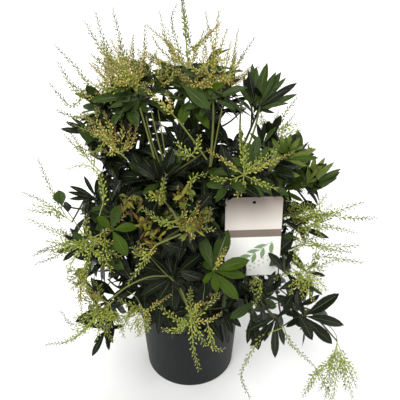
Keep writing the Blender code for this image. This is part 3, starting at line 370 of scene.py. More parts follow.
# Whorls that show from the front: the mass, nearness, root, the tones that its leaves are dealt, their breadth,
# and the place of each leaf's tip
FRONT_WHORLS = (
    ("front_rosette", 0.005, 173, 277, "m", 0.82, 163, 243, 182, 239, 203, 253, 206, 276, 200, 294, 186, 304,
     172, 309, 158, 301, 141, 296, 136, 281, 141, 266, 150, 252),
    ("front_rosette", 0.012, 173, 277, "m", 0.66, 183, 266, 162, 270, 177, 293),
    ("front_bright", 0.02, 213, 271, "d", 1.12, 201, 233, 228, 230, 216, 247, 203, 262),
    ("front_bright", 0.03, 213, 271, "f", 1.15, 249, 260, 245, 276, 238, 299, 217, 292, 204, 284),
    ("right_low", 0.01, 304, 316, "m", 0.85, 339, 294, 329, 306, 343, 325, 332, 344, 322, 337, 311, 339, 283, 312,
     286, 327, 300, 300, 289, 291),
    ("front_low_right", 0.02, 276, 318, "m", 0.7, 250, 346, 258, 344, 275, 358, 264, 341, 293, 305, 284, 345,
     246, 331),
    ("front_low_right", 0.02, 252, 313, "m", 0.8, 247, 343),
    ("front_low", 0.02, 222, 308, "m", 0.75, 233, 334, 241, 327, 228, 343, 243, 312, 213, 336),
    ("front_low", 0.03, 205, 312, "m", 0.7, 196, 335, 208, 340, 184, 336, 221, 340, 201, 328),
    ("front_rosette", 0.0, 160, 306, "m", 0.7, 150, 326, 158, 334, 170, 330, 143, 318, 178, 336),
    ("right_out", 0.02, 308, 188, "ggfd", 0.62, 340, 169, 334, 163, 325, 158, 315, 156, 306, 160, 296, 168, 330, 173,
     337, 178),
    ("right_out", 0.02, 308, 194, "d", 0.6, 340, 172, 333, 180, 326, 182),
    ("right_out", 0.04, 283, 190, "gfgd", 0.66, 274, 163, 284, 160, 293, 163, 303, 170, 312, 174, 310, 184, 303, 201,
     270, 172, 280, 200),
    ("right_high", 0.02, 286, 160, "gfg", 0.64, 272, 138, 281, 134, 291, 133, 300, 138, 304, 146, 316, 149, 318, 158,
     307, 166, 268, 148),
    ("right_high", 0.04, 286, 155, "gfd", 0.6, 281, 141, 291, 141, 286, 136, 297, 147, 276, 147),
    ("right_out", 0.05, 307, 184, "gfd", 0.6, 301, 169, 309, 165, 317, 169, 321, 177, 296, 176),
    ("right_high", 0.02, 262, 146, "dm", 0.7, 265, 122, 250, 133, 276, 127, 257, 124),
    ("right_star", 0.0, 250, 170, "d", 0.95, 269, 147, 214, 172, 249, 142, 259, 136, 232, 158),
    ("crown_right_out", 0.02, 254, 112, "d", 0.68, 267, 63, 281, 72, 256, 67),
    ("crown_right_out", 0.02, 256, 110, "dddm", 0.54, 297, 83, 297, 94, 288, 103, 274, 113, 238, 85, 248, 70,
     243, 76, 289, 88, 276, 72, 252, 64, 286, 78),
    ("crown_right", 0.03, 213, 99, "d", 0.75, 178, 81, 247, 87, 236, 110, 184, 109, 199, 117),
    ("crown_right", 0.0, 190, 92, "d", 0.8, 160, 62, 176, 106, 170, 76, 182, 66),
    ("crown_right", 0.05, 181, 84, "d", 1.2, 210, 109),
    ("crown_back", -0.03, 166, 118, "dm", 0.75, 148, 104, 160, 99, 171, 101, 180, 108, 188, 116, 144, 114),
    ("crown_back", -0.02, 172, 122, "df", 0.7, 156, 102, 163, 95, 172, 92, 181, 98, 158, 112, 184, 110, 150, 118),
    ("middle_high", -0.05, 180, 148, "m", 0.6, 164, 126, 172, 119, 181, 115, 189, 118, 196, 126, 158, 136, 200, 136),
    ("middle_high", -0.05, 214, 146, "m", 0.6, 204, 124, 212, 118, 221, 124, 227, 134),
    ("crown_left", 0.02, 141, 98, "dfd", 0.75, 121, 112, 108, 108, 162, 108, 130, 119),
    ("crown_left", 0.01, 134, 96, "df", 0.75, 112, 93, 90, 101, 155, 92, 148, 114, 122, 84),
    ("side_left_high", 0.02, 108, 158, "d", 0.75, 100, 141, 128, 150),
    ("side_left_high", 0.0, 92, 134, "md", 0.6, 61, 129, 66, 122, 72, 118, 108, 128),
    ("left_out", 0.01, 97, 199, "m", 0.55, 84, 176, 70, 186, 68, 192, 69, 199, 82, 202, 92, 208),
    ("left_out", 0.02, 84, 246, "m", 0.65, 64, 235, 57, 252, 63, 261, 70, 228, 88, 224),
    ("front_left", 0.055, 112, 230, "ffd", 1.35, 120, 205, 97, 217, 137, 227, 127, 256),
    ("left_low", 0.02, 106, 330, "m", 0.65, 94, 343, 92, 356, 109, 350, 113, 343, 124, 325, 80, 322),
    ("right_middle", 0.085, 285, 273, "m", 0.95, 268, 253),
    ("right_middle", 0.04, 285, 272, "m", 0.8, 293, 250, 299, 284),
    ("right_middle", 0.0, 306, 271, "m", 0.7, 325, 276, 318, 262),
    ("right_side", 0.0, 296, 226, "m", 0.6, 314, 216, 329, 238, 286, 244, 306, 243, 287, 206),
)

# Open sky in the front view, where none of the rule's leaves shows: left, top, right and foot of each window
SKY = (
    (56, 134, 84, 146), (40, 146, 104, 172), (40, 172, 96, 200), (40, 200, 80, 228), (224, 111, 241, 134),
    (243, 111, 262, 142), (281, 98, 302, 120), (318, 136, 352, 160), (328, 166, 352, 206), (302, 236, 312, 256),
    (108, 276, 124, 292), (150, -40, 210, 60), (84, -40, 132, 38), (291, 330, 304, 345),
)

# Tufts of small leaves that are just opening: the mass, nearness, place, width in metres, and the tones dealt
FRONT_TUFTS = (
    ("middle_left", 0.05, (131, 205), 0.036, "bbbyg"),
    ("middle_left", 0.06, (152, 238), 0.034, "bbyyg"),
    ("middle", 0.05, (184, 198), 0.036, "byygg"),
    ("middle", 0.06, (190, 226), 0.036, "bgbyg"),
    ("middle", 0.06, (159, 195), 0.022, "yyyyg"),
    ("middle_left", 0.05, (146, 224), 0.026, "yybyg"),
    ("middle_left", 0.05, (168, 218), 0.026, "ygbg"),
    ("middle", 0.05, (206, 214), 0.020, "yggb"),
)

# Colour


def srgb(code):
    """The linear colour of an sRGB hex value."""
    parts = [int(code[i : i + 2], 16) / 255 for i in (1, 3, 5)]
    return tuple(p / 12.92 if p <= 0.04045 else ((p + 0.055) / 1.055) ** 2.4 for p in parts)


def tint(name, description, code):
    return bpy.props.FloatVectorProperty(
        name=name, description=description, default=srgb(code), subtype="COLOR", min=0, max=1
    )


def measure(name, description, default):
    return bpy.props.FloatProperty(name=name, description=description, default=default, min=0, unit="LENGTH")


class PotSettings(bpy.types.PropertyGroup):
    """The moulded nursery pot."""

    colour: tint("Plastic", "Charcoal of the moulded polypropylene", "#090C0F")
    scuff: tint("Scuffs", "Grey of the handling marks", "#15191C")
    collar: measure("Collar height", "Height of the thicker band under the lip", 0.030)
    wall: measure("Wall", "Thickness of the wall at the lip", 0.0022)


class CompostSettings(bpy.types.PropertyGroup):
    """The compost that fills the pot."""

    colour: tint("Peat", "Brown of the moist peat", "#2A211B")
    fibre: tint("Fibre", "Paler brown of the bark and fibre crumbs", "#4E3D2E")
    crumb: measure("Crumb size", "Length of a bark crumb", 0.006)


class LabelSettings(bpy.types.PropertyGroup):
    """The card on its stake."""

    top: tint("Top of the card", "Taupe at the upper edge", "#95867A")
    fade: tint("Foot of the fade", "Cream that the taupe fades to", "#E2DBD2")
    band: tint("Band", "Brown band across the card", "#7C6C60")
    field: tint("Lower field", "White of the lower card", "#F7F6F2")
    sprig: tint("Sprig", "Green of the printed sprig", "#7E9C6B")
    bells: tint("Bells", "Pale green of the sprig's buds", "#C9CDA4")


class BarkSettings(bpy.types.PropertyGroup):
    """Bark of the trunk, limbs and boughs, and the skin of young shoots."""

    ridge: tint("Ridges", "Grey-brown of the bark's ridges", "#7A6A58")
    furrow: tint("Furrows", "Dark brown between the ridges", "#33281F")
    young: tint("Young skin", "Green of this year's shoots", "#6E7528")
    relief: measure("Relief", "Depth of the bark's furrows", 0.0006)


class LeafSettings(bpy.types.PropertyGroup):
    """The leathery leaves."""

    length: measure("Leaf length", "Length of a full-grown leaf with its stalk", 0.066)
    width: measure("Leaf width", "Width of a full-grown leaf", 0.0200)
    mature: tint("Mature", "Deep green of last year's leaves", "#161D0B")
    glossy: tint("Glossy", "Middle green of leaves in full growth", "#384C16")
    green: tint("Green", "Green of younger leaves", "#69782A")
    fresh: tint("Fresh", "Bright green of new leaves", "#42590F")
    golden: tint("Golden", "Yellow-green of the youngest leaves", "#8E8A36")
    bronze: tint("Bronze", "Bronze of leaves that are just opening", "#6E5226")
    rib: tint("Midrib", "Light green of the midrib", "#455429")


class RacemeSettings(bpy.types.PropertyGroup):
    """The racemes and their buds."""

    bud_length: measure("Bud length", "Length of a full bud", 0.0065)
    bud_width: measure("Bud width", "Width of a full bud", 0.0034)
    pedicel: measure("Stalk", "Length of a bud's own stalk", 0.0027)
    spacing: measure("Spacing", "Distance from one bud to the next", 0.0021)
    lime: tint("Lime buds", "Yellow-green of full buds", "#A6B048")
    gold: tint("Golden buds", "Old gold of buds in the sun", "#C8B560")
    olive: tint("Olive buds", "Green of younger buds", "#7E8A3A")
    copper: tint("Copper buds", "Copper of buds in full sun", "#9C7C40")
    tip: tint("Tip buds", "Brown of the smallest buds", "#4A4038")


class StageSettings(bpy.types.PropertyGroup):
    """Camera, floor and light."""

    distance: measure("Distance", "From the camera to the point it looks at", 1.204)
    elevation: bpy.props.FloatProperty(
        name="Elevation", description="Angle above level", default=radians(33), subtype="ANGLE"
    )
    lens: bpy.props.FloatProperty(name="Lens", description="Focal length in mm", default=56.8, min=1)
    floor: tint("Floor", "Pale matt floor", "#F6F6F4")


# Each group of settings by its name on the scene
SETTINGS = {
    "pieris_pot": PotSettings,
    "pieris_compost": CompostSettings,
    "pieris_label": LabelSettings,
    "pieris_bark": BarkSettings,
    "pieris_leaf": LeafSettings,
    "pieris_raceme": RacemeSettings,
    "pieris_stage": StageSettings,
}

# Directions

UP = Vector((0, 0, 1))


def at(azimuth, reach, height):
    """The point at this azimuth, in degrees, reach from the pot's axis, and height."""
    turn = radians(azimuth)
    return Vector((reach * cos(turn), reach * sin(turn), height))


def heading(azimuth, lean):
    """The unit vector that points to this azimuth and lean above level, both in degrees."""
    rise = radians(lean)
    return at(azimuth, cos(rise), sin(rise))


def turned(direction, spread, azimuth):
    """A direction tipped by spread degrees away from another, at an azimuth round it."""
    side = Matrix.Rotation(radians(azimuth), 3, direction) @ direction.orthogonal().normalized()
    return (Matrix.Rotation(radians(spread), 3, side) @ direction).normalized()


def squared(vector, run):
    """The part of a vector that is square to a unit run, as a unit vector."""
    return (vector - run * vector.dot(run)).normalized()


# Skeleton: the limbs' axes, by the solids' rule


def mass_centre(mass):
    row = MASSES[mass]
    return at(row.azimuth, row.reach, row.height)


def mass_axis(mass):
    return heading(MASSES[mass].azimuth, MASSES[mass].lean)


def middle_of(points):
    return sum(points, Vector()) / len(points)


def bough_tip(bough):
    """Where the bough ends: a stem's length short of the masses that it carries."""
    return middle_of([mass_centre(m) - mass_axis(m) * STEM_LENGTH for m in BOUGHS[bough].masses])


def trunk_path():
    """The trunk's axis: it leaves the ground upright, then leans a little."""
    foot = Vector((0, 0, COMPOST_LEVEL + COMPOST_HEAP + CLEAR))
    leans = [max(share - TRUNK_SHARES[1], 0) * TRUNK_LEAN for share in TRUNK_SHARES]
    rises = [Vector((0, 0, TRUNK_HEIGHT * share)) for share in TRUNK_SHARES]
    return [(foot + lean + rise, radius) for lean, rise, radius in zip(leans, rises, TRUNK_RADII)]


def length_of(points):
    return sum((b - a).length for a, b in pairwise(points))


def along(path, share):
    """The point, radius and direction at a share of the length of a path of points with radii."""
    steps = [(b[0] - a[0]).length for a, b in pairwise(path)]
    left = share * sum(steps)
    for (a, ra), (b, rb), step in zip(path, path[1:], steps):
        if left <= step or b is path[-1][0]:
            part = min(left / step, 1.0)
            return a.lerp(b, part), ra + (rb - ra) * part, (b - a).normalized()
        left -= step


def spot_along(points, share):
    """The point and direction at a share of a bare line's length."""
    point, _, run = along([(p, 0.0) for p in points], share)
    return point, run


def clearance(point, path):
    """The distance from a point to the surface of a tapering limb with flat ends."""
    best = inf
    for (a, ra), (b, rb) in pairwise(path):
        run = b - a
        part = (point - a).dot(run) / run.length_squared
        inside = min(max(part, 0.0), 1.0)
        beyond = abs(part - inside) * run.length
        off_side = (point - (a + run * part)).length - (ra + (rb - ra) * inside)
        best = min(best, hypot(beyond, max(off_side, 0.0)) if beyond else off_side)
    return best


def disc(centre, direction, radius):
    """Points over a round section: its centre, a ring half way out, and its edge."""
    side = direction.orthogonal().normalized() * radius
    turns = [Matrix.Rotation(tau * i / DISC_SPOKES, 3, direction) for i in range(DISC_SPOKES)]
    return [centre] + [centre + turn @ side * share for turn in turns for share in (0.5, 1)]


def clear_start(path, start, direction, radius, gap=CLEAR):
    """Moves a limb's base along its direction until its end face is just clear of its parent."""
    near, far = 0.0, FARTHEST_START
    for _ in range(HALVINGS):
        middle = (near + far) / 2
        face = disc(start + direction * middle, direction, radius)
        if min(clearance(p, path) for p in face) < gap:
            near = middle
        else:
            far = middle
    return start + direction * far


def bent_path(bough, parent, share, setting_off):
    """The bough's axis if it leaves its parent here, bent to meet its masses, as points with radii."""
    radius, masses = BOUGHS[bough].radius, BOUGHS[bough].masses
    tip = bough_tip(bough)
    axis = sum((mass_axis(m) for m in masses), Vector()).normalized()
    root, _, parent_direction = along(parent, share)
    bend = tip - axis * (tip - root).length * BOUGH_ARRIVAL
    first = (bend - root).normalized()
    level = Vector((*first.xy, 0)).normalized()
    first += (level if setting_off > 0 else -parent_direction) * abs(setting_off)
    first.normalize()
    start = clear_start(parent, root, first, radius, LIMB_JOINT)
    bend = start + first * (bend - start).length * BOUGH_STRAIGHT
    for _ in range(12):
        path = []
        for i in range(BOUGH_POINTS):
            t = (i / (BOUGH_POINTS - 1)) ** 1.5
            point = start * (1 - t) ** 2 + bend * 2 * t * (1 - t) + tip * t**2
            path.append((point, radius + (BOUGH_TIP_RADIUS - radius) * t))
        face = disc(start, (path[1][0] - start).normalized(), radius)
        gap = min(clearance(p, parent) for p in face)
        if gap > 0.9 * LIMB_JOINT:
            break
        start = start + first * (LIMB_JOINT - gap)
    return path


def keeps_clear(path, parent, paths):
    """Whether a limb's surface is clear of its parent and well clear of every other limb."""
    for (a, ra), (b, rb) in pairwise(path):
        for share in (0, 0.25, 0.5, 0.75, 1):
            face = disc(a.lerp(b, share), (b - a).normalized(), ra + (rb - ra) * share)
            for other in paths:
                needed = 0.5 * LIMB_JOINT if other is parent else LIMB_SPACING
                if min(clearance(p, other) for p in face) < needed:
                    return False
    return True


def bough_path(bough, paths):
    """The bough's path, moved along its parent or set off more steeply until it is clear of the rest."""
    parent, share = BOUGHS[bough][:2]
    offs = LIMB_SETTING_OFF if parent == "trunk" else BOUGH_SETTING_OFF
    for shift in BOUGH_SHIFTS:
        for setting_off in offs:
            place = min(max(share + shift, 0.03), 1.0)
            path = bent_path(bough, paths[parent], place, setting_off)
            if keeps_clear(path, paths[parent], paths.values()):
                return path
    raise ValueError(f"{bough} crosses another limb")


@lru_cache
def skeleton():
    """Every limb's path by name, parents first."""
    paths = {"trunk": trunk_path()}
    for bough in BOUGHS:
        paths[bough] = bough_path(bough, paths)
    return paths


# Growth rule


def bough_of(mass):
    return next((b for b, row in BOUGHS.items() if mass in row.masses), None)


def stem_start(mass, paths):
    """Where a mass's stem meets its bough's tip or the trunk."""
    centre = mass_centre(mass)
    if mass in INNER_MASSES:
        path = paths["trunk"]
        start = along(path, INNER_MASSES[mass])[0]
    else:
        bough = bough_of(mass)
        path = paths[bough]
        tip = path[-1][0]
        run = (tip - path[-2][0]).normalized()
        away = centre - middle_of([mass_centre(m) for m in BOUGHS[bough].masses])
        start = tip + squared(away, run) * (STEM_RADIUS + CLEAR)
    return clear_start(path, start, (centre - start).normalized(), STEM_RADIUS)


def seed_of(mass, kind, number=0):
    return random.Random(f"{mass} {kind} {number}")


def fitted_shoot(aim, fork, spread, turn, full, rise, fits):
    """A shoot from a fork of the stem, turned or shortened until it fits, in a list, or an empty list."""
    for more, scale in TRIES:
        away = turned(aim, spread, turn + more)
        rising = (away + UP * rise).normalized()
        bend = fork + away * full * scale * 0.5
        tip = bend + rising * full * scale * 0.5
        if fits(bend, tip, rising):
            return [[fork, bend, tip]]
    return []


def shoots_of(mass, start, room):
    """The points of each shoot, fork to tip. The first is the mass's stem, and the rest leave it."""
    rule = seed_of(mass, "shoots")
    centre = mass_centre(mass)
    aim = (centre - start).normalized()
    shoots = [[start, centre]]
    count = MASSES[mass].side_shoots
    first_turn = rule.uniform(0, 360)
    for i in range(count):
        fork = start.lerp(centre, 0.30 + 0.32 * i / max(count - 1, 1))
        spread = SHOOT_SPREAD + rule.uniform(-7, 7)
        turn = first_turn + 360 * i / count + rule.uniform(-18, 18)
        full = SHOOT_LENGTH * rule.uniform(0.85, 1.12)
        shoots += fitted_shoot(
            aim, fork, spread, turn, full, 0.35, lambda bend, tip, run: room.holds([bend, tip, tip + run * 0.02])
        )
    return shoots


def extra_shoots_of(mass, start, room):
    """Shorter shoots between the first ones, lower on the stem, which carry leaves only."""
    rule = seed_of(mass, "extra shoots")
    centre = mass_centre(mass)
    aim = (centre - start).normalized()
    found = []
    first_turn = rule.uniform(0, 360)
    for i in range(EXTRA_SHOOTS):
        fork = start.lerp(centre, 0.08 + 0.5 * (i + rule.random()) / EXTRA_SHOOTS)
        spread = SHOOT_SPREAD + 12 + rule.uniform(-10, 10)
        full = SHOOT_LENGTH * rule.uniform(0.5, 0.85)
        turn = first_turn + GOLDEN_ANGLE * i
        found += fitted_shoot(
            aim, fork, spread, turn, full, 0.5, lambda bend, tip, _: room.holds_loosely([bend, tip])
        )
    return found


def stalk_choices(mass, shoot_number, shoot, direction):
    """What a panicle's stalk may be beyond its shoot's tip: its middle, its end, and its last raceme's tip."""
    rule = seed_of(mass, "stalk", shoot_number)
    tip = shoot[-1]
    pull = panicle_pull(mass)
    middle_direction = (direction + pull * 0.6).normalized()
    end_direction = (middle_direction + pull).normalized()
    last_direction = (end_direction + pull * 0.25).normalized()
    length = PEDUNCLE_LENGTH * rule.uniform(0.8, 1.1) * (1 + 1.2 * MASSES[mass].droop)
    last = RACEME_LENGTH * rule.uniform(0.95, 1.15)
    for scale in (1.0, 0.8, 0.6):
        middle = tip + middle_direction * length * scale * 0.5
        end = middle + end_direction * length * scale * 0.5
        yield middle, end, end + last_direction * last * scale


def raceme_choices(mass, shoot_number, stalk, i, root=None):
    """The root, first direction and tip that side raceme i of a panicle may take, best first."""
    rule = seed_of(mass, f"raceme {shoot_number}", i)
    middle, end, _ = stalk
    finer = root is not None
    root = root or middle.lerp(end, 0.2 + 0.7 * i / SIDE_RACEMES)
    spread = (RACEME_SPREAD - 10 * finer) + rule.uniform(-8, 8)
    turn = seed_of(mass, "panicle", shoot_number).uniform(0, 360) + GOLDEN_ANGLE * i
    full = RACEME_LENGTH * rule.uniform(0.75, 1.0) * (1 - 0.3 * finer)
    for more, scale in TRIES:
        away = turned((end - middle).normalized(), spread, turn + more)
        bent = (away + panicle_pull(mass) * 0.35).normalized()
        yield root, away, root + bent * full * scale


def panicle_pull(mass):
    """Up for an upright panicle, and down for one that hangs."""
    return UP * (0.35 - 1.5 * MASSES[mass].droop)


# Room that each mass keeps to


def off_segment(point, start, end):
    run = end - start
    part = min(max((point - start).dot(run) / run.length_squared, 0.0), 1.0)
    return (point - (start + run * part)).length


def card_matrix():
    tilt = Matrix.Rotation(radians(90 - CARD_TILT), 4, "X")
    turn = Matrix.Rotation(radians(CARD_TURN), 4, "Z")
    return Matrix.Translation(CARD_CENTRE) @ turn @ tilt


CARD_INVERSE = card_matrix().inverted()
STAKE_TOP = card_matrix() @ Vector((0, -CARD_HEIGHT / 2, 0))


def off_card(point):
    """How far a point is from the label's card or its stake."""
    turn = CARD_INVERSE @ point
    card = Vector((max(abs(turn.x) - CARD_WIDTH / 2, 0), max(abs(turn.y) - CARD_HEIGHT / 2, 0), turn.z))
    return min(card.length, off_segment(point, STAKE_FOOT, STAKE_TOP) - STAKE_WIDTH / 2)


def crown_reach(height):
    """How far out growth may reach at a height, between the profile's points."""
    for (low, near), (high, far) in pairwise(CROWN_PROFILE):
        if low <= height <= high:
            return near + (far - near) * (height - low) / (high - low)
    return 0.0


def pot_radius(height):
    share = min(max(height / POT_HEIGHT, 0.0), 1.0)
    return POT_FOOT_RADIUS + (POT_LIP_RADIUS - POT_FOOT_RADIUS) * share


def front_view():
    """The front view: its eye, the point it looks at, its directions ahead and up, and its lens in places."""
    stage = bpy.context.scene.pieris_stage
    eye = VIEW_AIM + Vector((0, -cos(stage.elevation), sin(stage.elevation))) * stage.distance
    ahead = (VIEW_AIM - eye).normalized()
    return eye, VIEW_AIM, ahead, Vector((0, -ahead.z, ahead.y)), stage.lens / SENSOR_WIDTH * VIEW_SIZE


def in_sky(point):
    """Whether a point shows from the front in one of the windows of open sky."""
    eye, _, ahead, up, lens = front_view()
    lens /= (point - eye).dot(ahead)
    x = VIEW_SIZE / 2 + (point.x - eye.x) * lens
    y = VIEW_SIZE / 2 - (point - eye).dot(up) * lens
    return any(left < x < right and top < y < foot for left, top, right, foot in SKY)


def hides_card(point):
    """Whether a point stands before the card, apart from the corners and edge that leaves may overlap."""
    eye = CARD_INVERSE @ front_view()[0]
    local = CARD_INVERSE @ point
    if local.z < 0:
        return False
    seen = local + (local - eye) * (local.z / (eye.z - local.z))
    left_edge = seen.x < -0.038 and seen.y < 0.013
    left_foot = seen.x < -0.007 and seen.y < -0.040
    right_foot = seen.x > 0.028 and seen.y < -0.045
    inside = abs(seen.x) < CARD_WIDTH / 2 + CARD_BORDER and abs(seen.y) < CARD_HEIGHT / 2 + CARD_BORDER
    return inside and not (left_edge or left_foot or right_foot)


def segment_distances(point, starts, ends):
    """The distance from a point to each of many segments, and how far along each the nearest point lies."""
    run = ends - starts
    part = np.clip(((point - starts) * run).sum(1) / (run * run).sum(1), 0, 1)
    return np.linalg.norm(point - starts - run * part[:, None], axis=1), part


class Room:
    """The space that is nearer one mass's stem than another's, clear of limbs, pot, compost and label."""

    def __init__(self, mass, cells, paths):
        self.own = cells[mass]
        self.others = [cell for name, cell in cells.items() if name != mass]
        self.paths = list(paths.values())
        self.starts = np.array([cell[0] for cell in self.others])
        self.ends = np.array([cell[1] for cell in self.others])
        pieces = [(a, b) for path in self.paths for a, b in pairwise(path)]
        self.limb_starts = np.array([a[0] for a, _ in pieces])
        self.limb_ends = np.array([b[0] for _, b in pieces])
        self.limb_radii = np.array([(a[1], b[1]) for a, b in pieces])

    def holds(self, points):
        """The solids' own test."""
        for p in points:
            own = off_segment(p, *self.own) + 2 * CELL_MARGIN
            if any(off_segment(p, *cell) < own for cell in self.others) or not in_the_open(p):
                return False
            if any(clearance(p, path) <= LIMB_MARGIN for path in self.paths):
                return False
        return True

    def holds_loosely(self, points, slack=CELL_SLACK):
        """Whether finer growth may pass here: it may reach a little way into a neighbour's space."""
        for p in points:
            if not in_the_open(p) or hides_card(p) or not in_box(p):
                return False
            point = np.array(p)
            if segment_distances(point, self.starts, self.ends)[0].min() + slack < off_segment(p, *self.own):
                return False
            off, part = segment_distances(point, self.limb_starts, self.limb_ends)
            radii = self.limb_radii[:, 0] * (1 - part) + self.limb_radii[:, 1] * part
            if (off - radii).min() <= 0:
                return False
        return True


def in_the_open(p):
    """Whether a point lies inside the crown's outline and clear of the label, pot and compost."""
    if p.xy.length > crown_reach(p.z) or off_card(p) < CARD_MARGIN:
        return False
    return p.z > POT_HEIGHT + POT_MARGIN or p.xy.length - pot_radius(p.z) > POT_MARGIN


def in_box(p):
    low, high = CAD_BOX
    return all(low[i] - BOX_SLACK < p[i] < high[i] + BOX_SLACK for i in range(3)) and p.z > FLOOR_CLEARANCE


# Growing

Leaf = namedtuple("Leaf", "root outward upper length broad chance tone")


def smooth_path(points, count):
    """A curve through the points, with count points evenly spread over it."""
    padded = [points[0] * 2 - points[1], *points, points[-1] * 2 - points[-2]]
    made = []
    for i in range(count):
        place = i / (count - 1) * (len(points) - 1)
        k = min(int(place), len(points) - 2)
        t = place - k
        a, b, c, d = padded[k : k + 4]
        made.append(
            (b * 2 + (c - a) * t + (a * 2 - b * 5 + c * 4 - d) * t**2 + (b * 3 - a - c * 3 + d) * t**3) / 2
        )
    return made


def curl(root, away, tip, count):
    """A raceme's axis: it leaves in one direction and curves over to its tip."""
    length = (tip - root).length
    bend = root + away * length * 0.55
    spots = [i / (count - 1) for i in range(count)]
    return [root * (1 - t) ** 2 + bend * 2 * t * (1 - t) + tip * t**2 for t in spots]


def grow_leaf(grown, room, spot, length, rule, tone):
    """Adds one leaf, turned or shortened until it fits its room and keeps out of the sky."""
    root, direction, splay, turn = spot
    for more, scale in TRIES:
        outward = turned(direction, splay, turn + more)
        upper = squared((squared(direction, outward) + UP * 0.45).normalized(), outward)
        full = length * scale
        if any(in_sky(root + outward * full * share) for share in SKY_TEST_SHARES):
            continue
        if room.holds_loosely([root + outward * full, root + outward * full * 0.55]):
            grown.leaves.append(Leaf(root, outward, upper, full, rule.uniform(0.86, 1.12), rule.random(), tone))
            return


def grow_whorl(grown, room, mass, key, path, count, tone, splay_range=SPREAD_SPLAY, lower=0):
    """Leaves round a shoot's tip, the inner ones steeper, and a few older ones further down."""
    tip = path[-1]
    direction = (tip - path[-2]).normalized()
    leaf_length = bpy.context.scene.pieris_leaf.length
    first, last = splay_range
    depth = UPRIGHT_DEPTH if splay_range == UPRIGHT_SPLAY else WHORL_DEPTH
    for k in range(count):
        rule = seed_of(mass, f"leaf {key}", k)
        share = (k + 0.3) / count
        root = tip - direction * depth * share
        splay = first + (last - first) * share**0.8 + rule.uniform(-7, 7)
        turn = GOLDEN_ANGLE * k + rule.uniform(-10, 10)
        full = leaf_length * rule.uniform(0.82, 1.06) * (0.78 + 0.22 * min(share * 2.5, 1))
        kind = tone if rule.random() < USUAL_TONE else "glossy" if tone == "mature" else "mature"
        grow_leaf(grown, room, (root, direction, splay, turn), full, rule, kind)
    length = length_of(path)
    for k in range(lower):
        rule = seed_of(mass, f"lower leaf {key}", k)
        back = depth + (length - depth) * (k + rule.random()) / lower * 0.85
        if back <= length:
            root, run = spot_along(path, 1 - back / length)
            full = leaf_length * rule.uniform(0.75, 0.95)
            grow_leaf(grown, room, (root, run, rule.uniform(68, 100), GOLDEN_ANGLE * k), full, rule, "mature")


def leaf_arch(chance):
    """How far a leaf's tip bends down, as a share of its length."""
    return LEAST_ARCH + MORE_ARCH * chance


def grow_front_whorls(grown):
    """The whorls in view from the front, each leaf from its root to its own tip and turned to the light."""
    eye = front_view()[0]
    for number, (mass, near, x, y, tone, breadth, *tips) in enumerate(FRONT_WHORLS):
        root = front_place(mass, near, x, y)
        grown.twigs.append([mass_centre(mass).lerp(root, 0.2), mass_centre(mass).lerp(root, 0.6), root])
        for k, spot in enumerate(in_pairs(tips)):
            rule = seed_of(mass, f"front leaf {number}", k)
            tip = front_place(mass, near + rule.uniform(-0.015, 0.012), *spot)
            length = (tip - root).length
            facing = (eye - root).normalized() + Vector((rule.uniform(-0.6, 0.6), 0, rule.uniform(0.1, 1.1)))
            upper = squared(facing, (tip - root).normalized())
            broad, chance = breadth * rule.uniform(0.9, 1.1), rule.random()
            outward = (tip - root + upper * length * leaf_arch(chance)).normalized()
            upper = squared(upper, outward)
            grown.leaves.append(Leaf(root, outward, upper, length, broad, chance, TONES[rule.choice(tone)]))


def scattered(rule, reach):
    """A random vector whose parts each lie within reach of nought."""
    return Vector([rule.uniform(-reach, reach) for _ in range(3)])


def grow_tufts(grown):
    """Tufts of small new leaves, bronze and golden as they open, where they show from the front."""
    eye = front_view()[0]
    for mass, near, place, width, tones in FRONT_TUFTS:
        centre = front_place(mass, near, *place)
        facing = ((eye - centre).normalized() + UP * 0.5).normalized()
        grown.twigs.append([centre - facing * 0.03 - UP * 0.02, centre - facing * 0.01, centre])
        for k in range(TUFT_LEAVES):
            rule = seed_of(mass, f"tuft {place}", k)
            aside = scattered(rule, 1)
            outward = (facing * rule.uniform(-0.1, 0.9) + aside).normalized()
            upper = squared(facing + scattered(rule, 0.8), outward)
            root = centre + scattered(rule, TUFT_SPREAD) * width
            size, broad = width * rule.uniform(0.2, 0.5), rule.uniform(0.4, 1.0)
            grown.leaves.append(Leaf(root, outward, upper, size, broad, rule.random(), TONES[rule.choice(tones)]))


def grow_panicle(grown, room, mass, key, shoot, stalk):
    """A stalk with its racemes: the last one at its end, the rule's side ones, and finer ones between."""
    middle, end, last_tip = stalk
    grown.stalks.append(smooth_path([shoot[-2], shoot[-1], middle, end], 13)[4:])
    last = curl(end, (end - middle).normalized(), last_tip, 14)
    grown.racemes.append((last, raceme_kind(last_tip, end.z, seed_of(mass, "tint", key).random())))
    lower = [middle, end, *last[1:]]
    for i in range(SIDE_RACEMES + EXTRA_RACEMES):
        root = None
        if i >= SIDE_RACEMES:
            place = (0.02 + 0.62 * (i - SIDE_RACEMES) / EXTRA_RACEMES) * (end - middle).length * 2.0
            root = spot_along(lower, min(place / length_of(lower), 0.5))[0]
        for start, away, tip in raceme_choices(mass, key, stalk, i, root):
            if not in_sky(tip) and room.holds_loosely([start.lerp(tip, 0.5), tip]):
                tint = seed_of(mass, "tint", key if i % 3 else 50 + i).random()
                grown.racemes.append((curl(start, away, tip, 12), raceme_kind(tip, start.z, tint)))
                break


def grow_panicles(grown, room, mass, number, shoot, more):
    """The rule's panicle on a flowering shoot, and others that leave the same tip at a slant."""
    direction = (shoot[-1] - shoot[-2]).normalized()
    for k in range(1 + more):
        key = number + 10 * k
        lean = turned(direction, 34, GOLDEN_ANGLE * k + 70 * number) if k else direction
        for stalk in stalk_choices(mass, key, shoot, lean):
            if room.holds(stalk) if not k else room.holds_loosely(stalk):
                grow_panicle(grown, room, mass, key, shoot, stalk)
                break


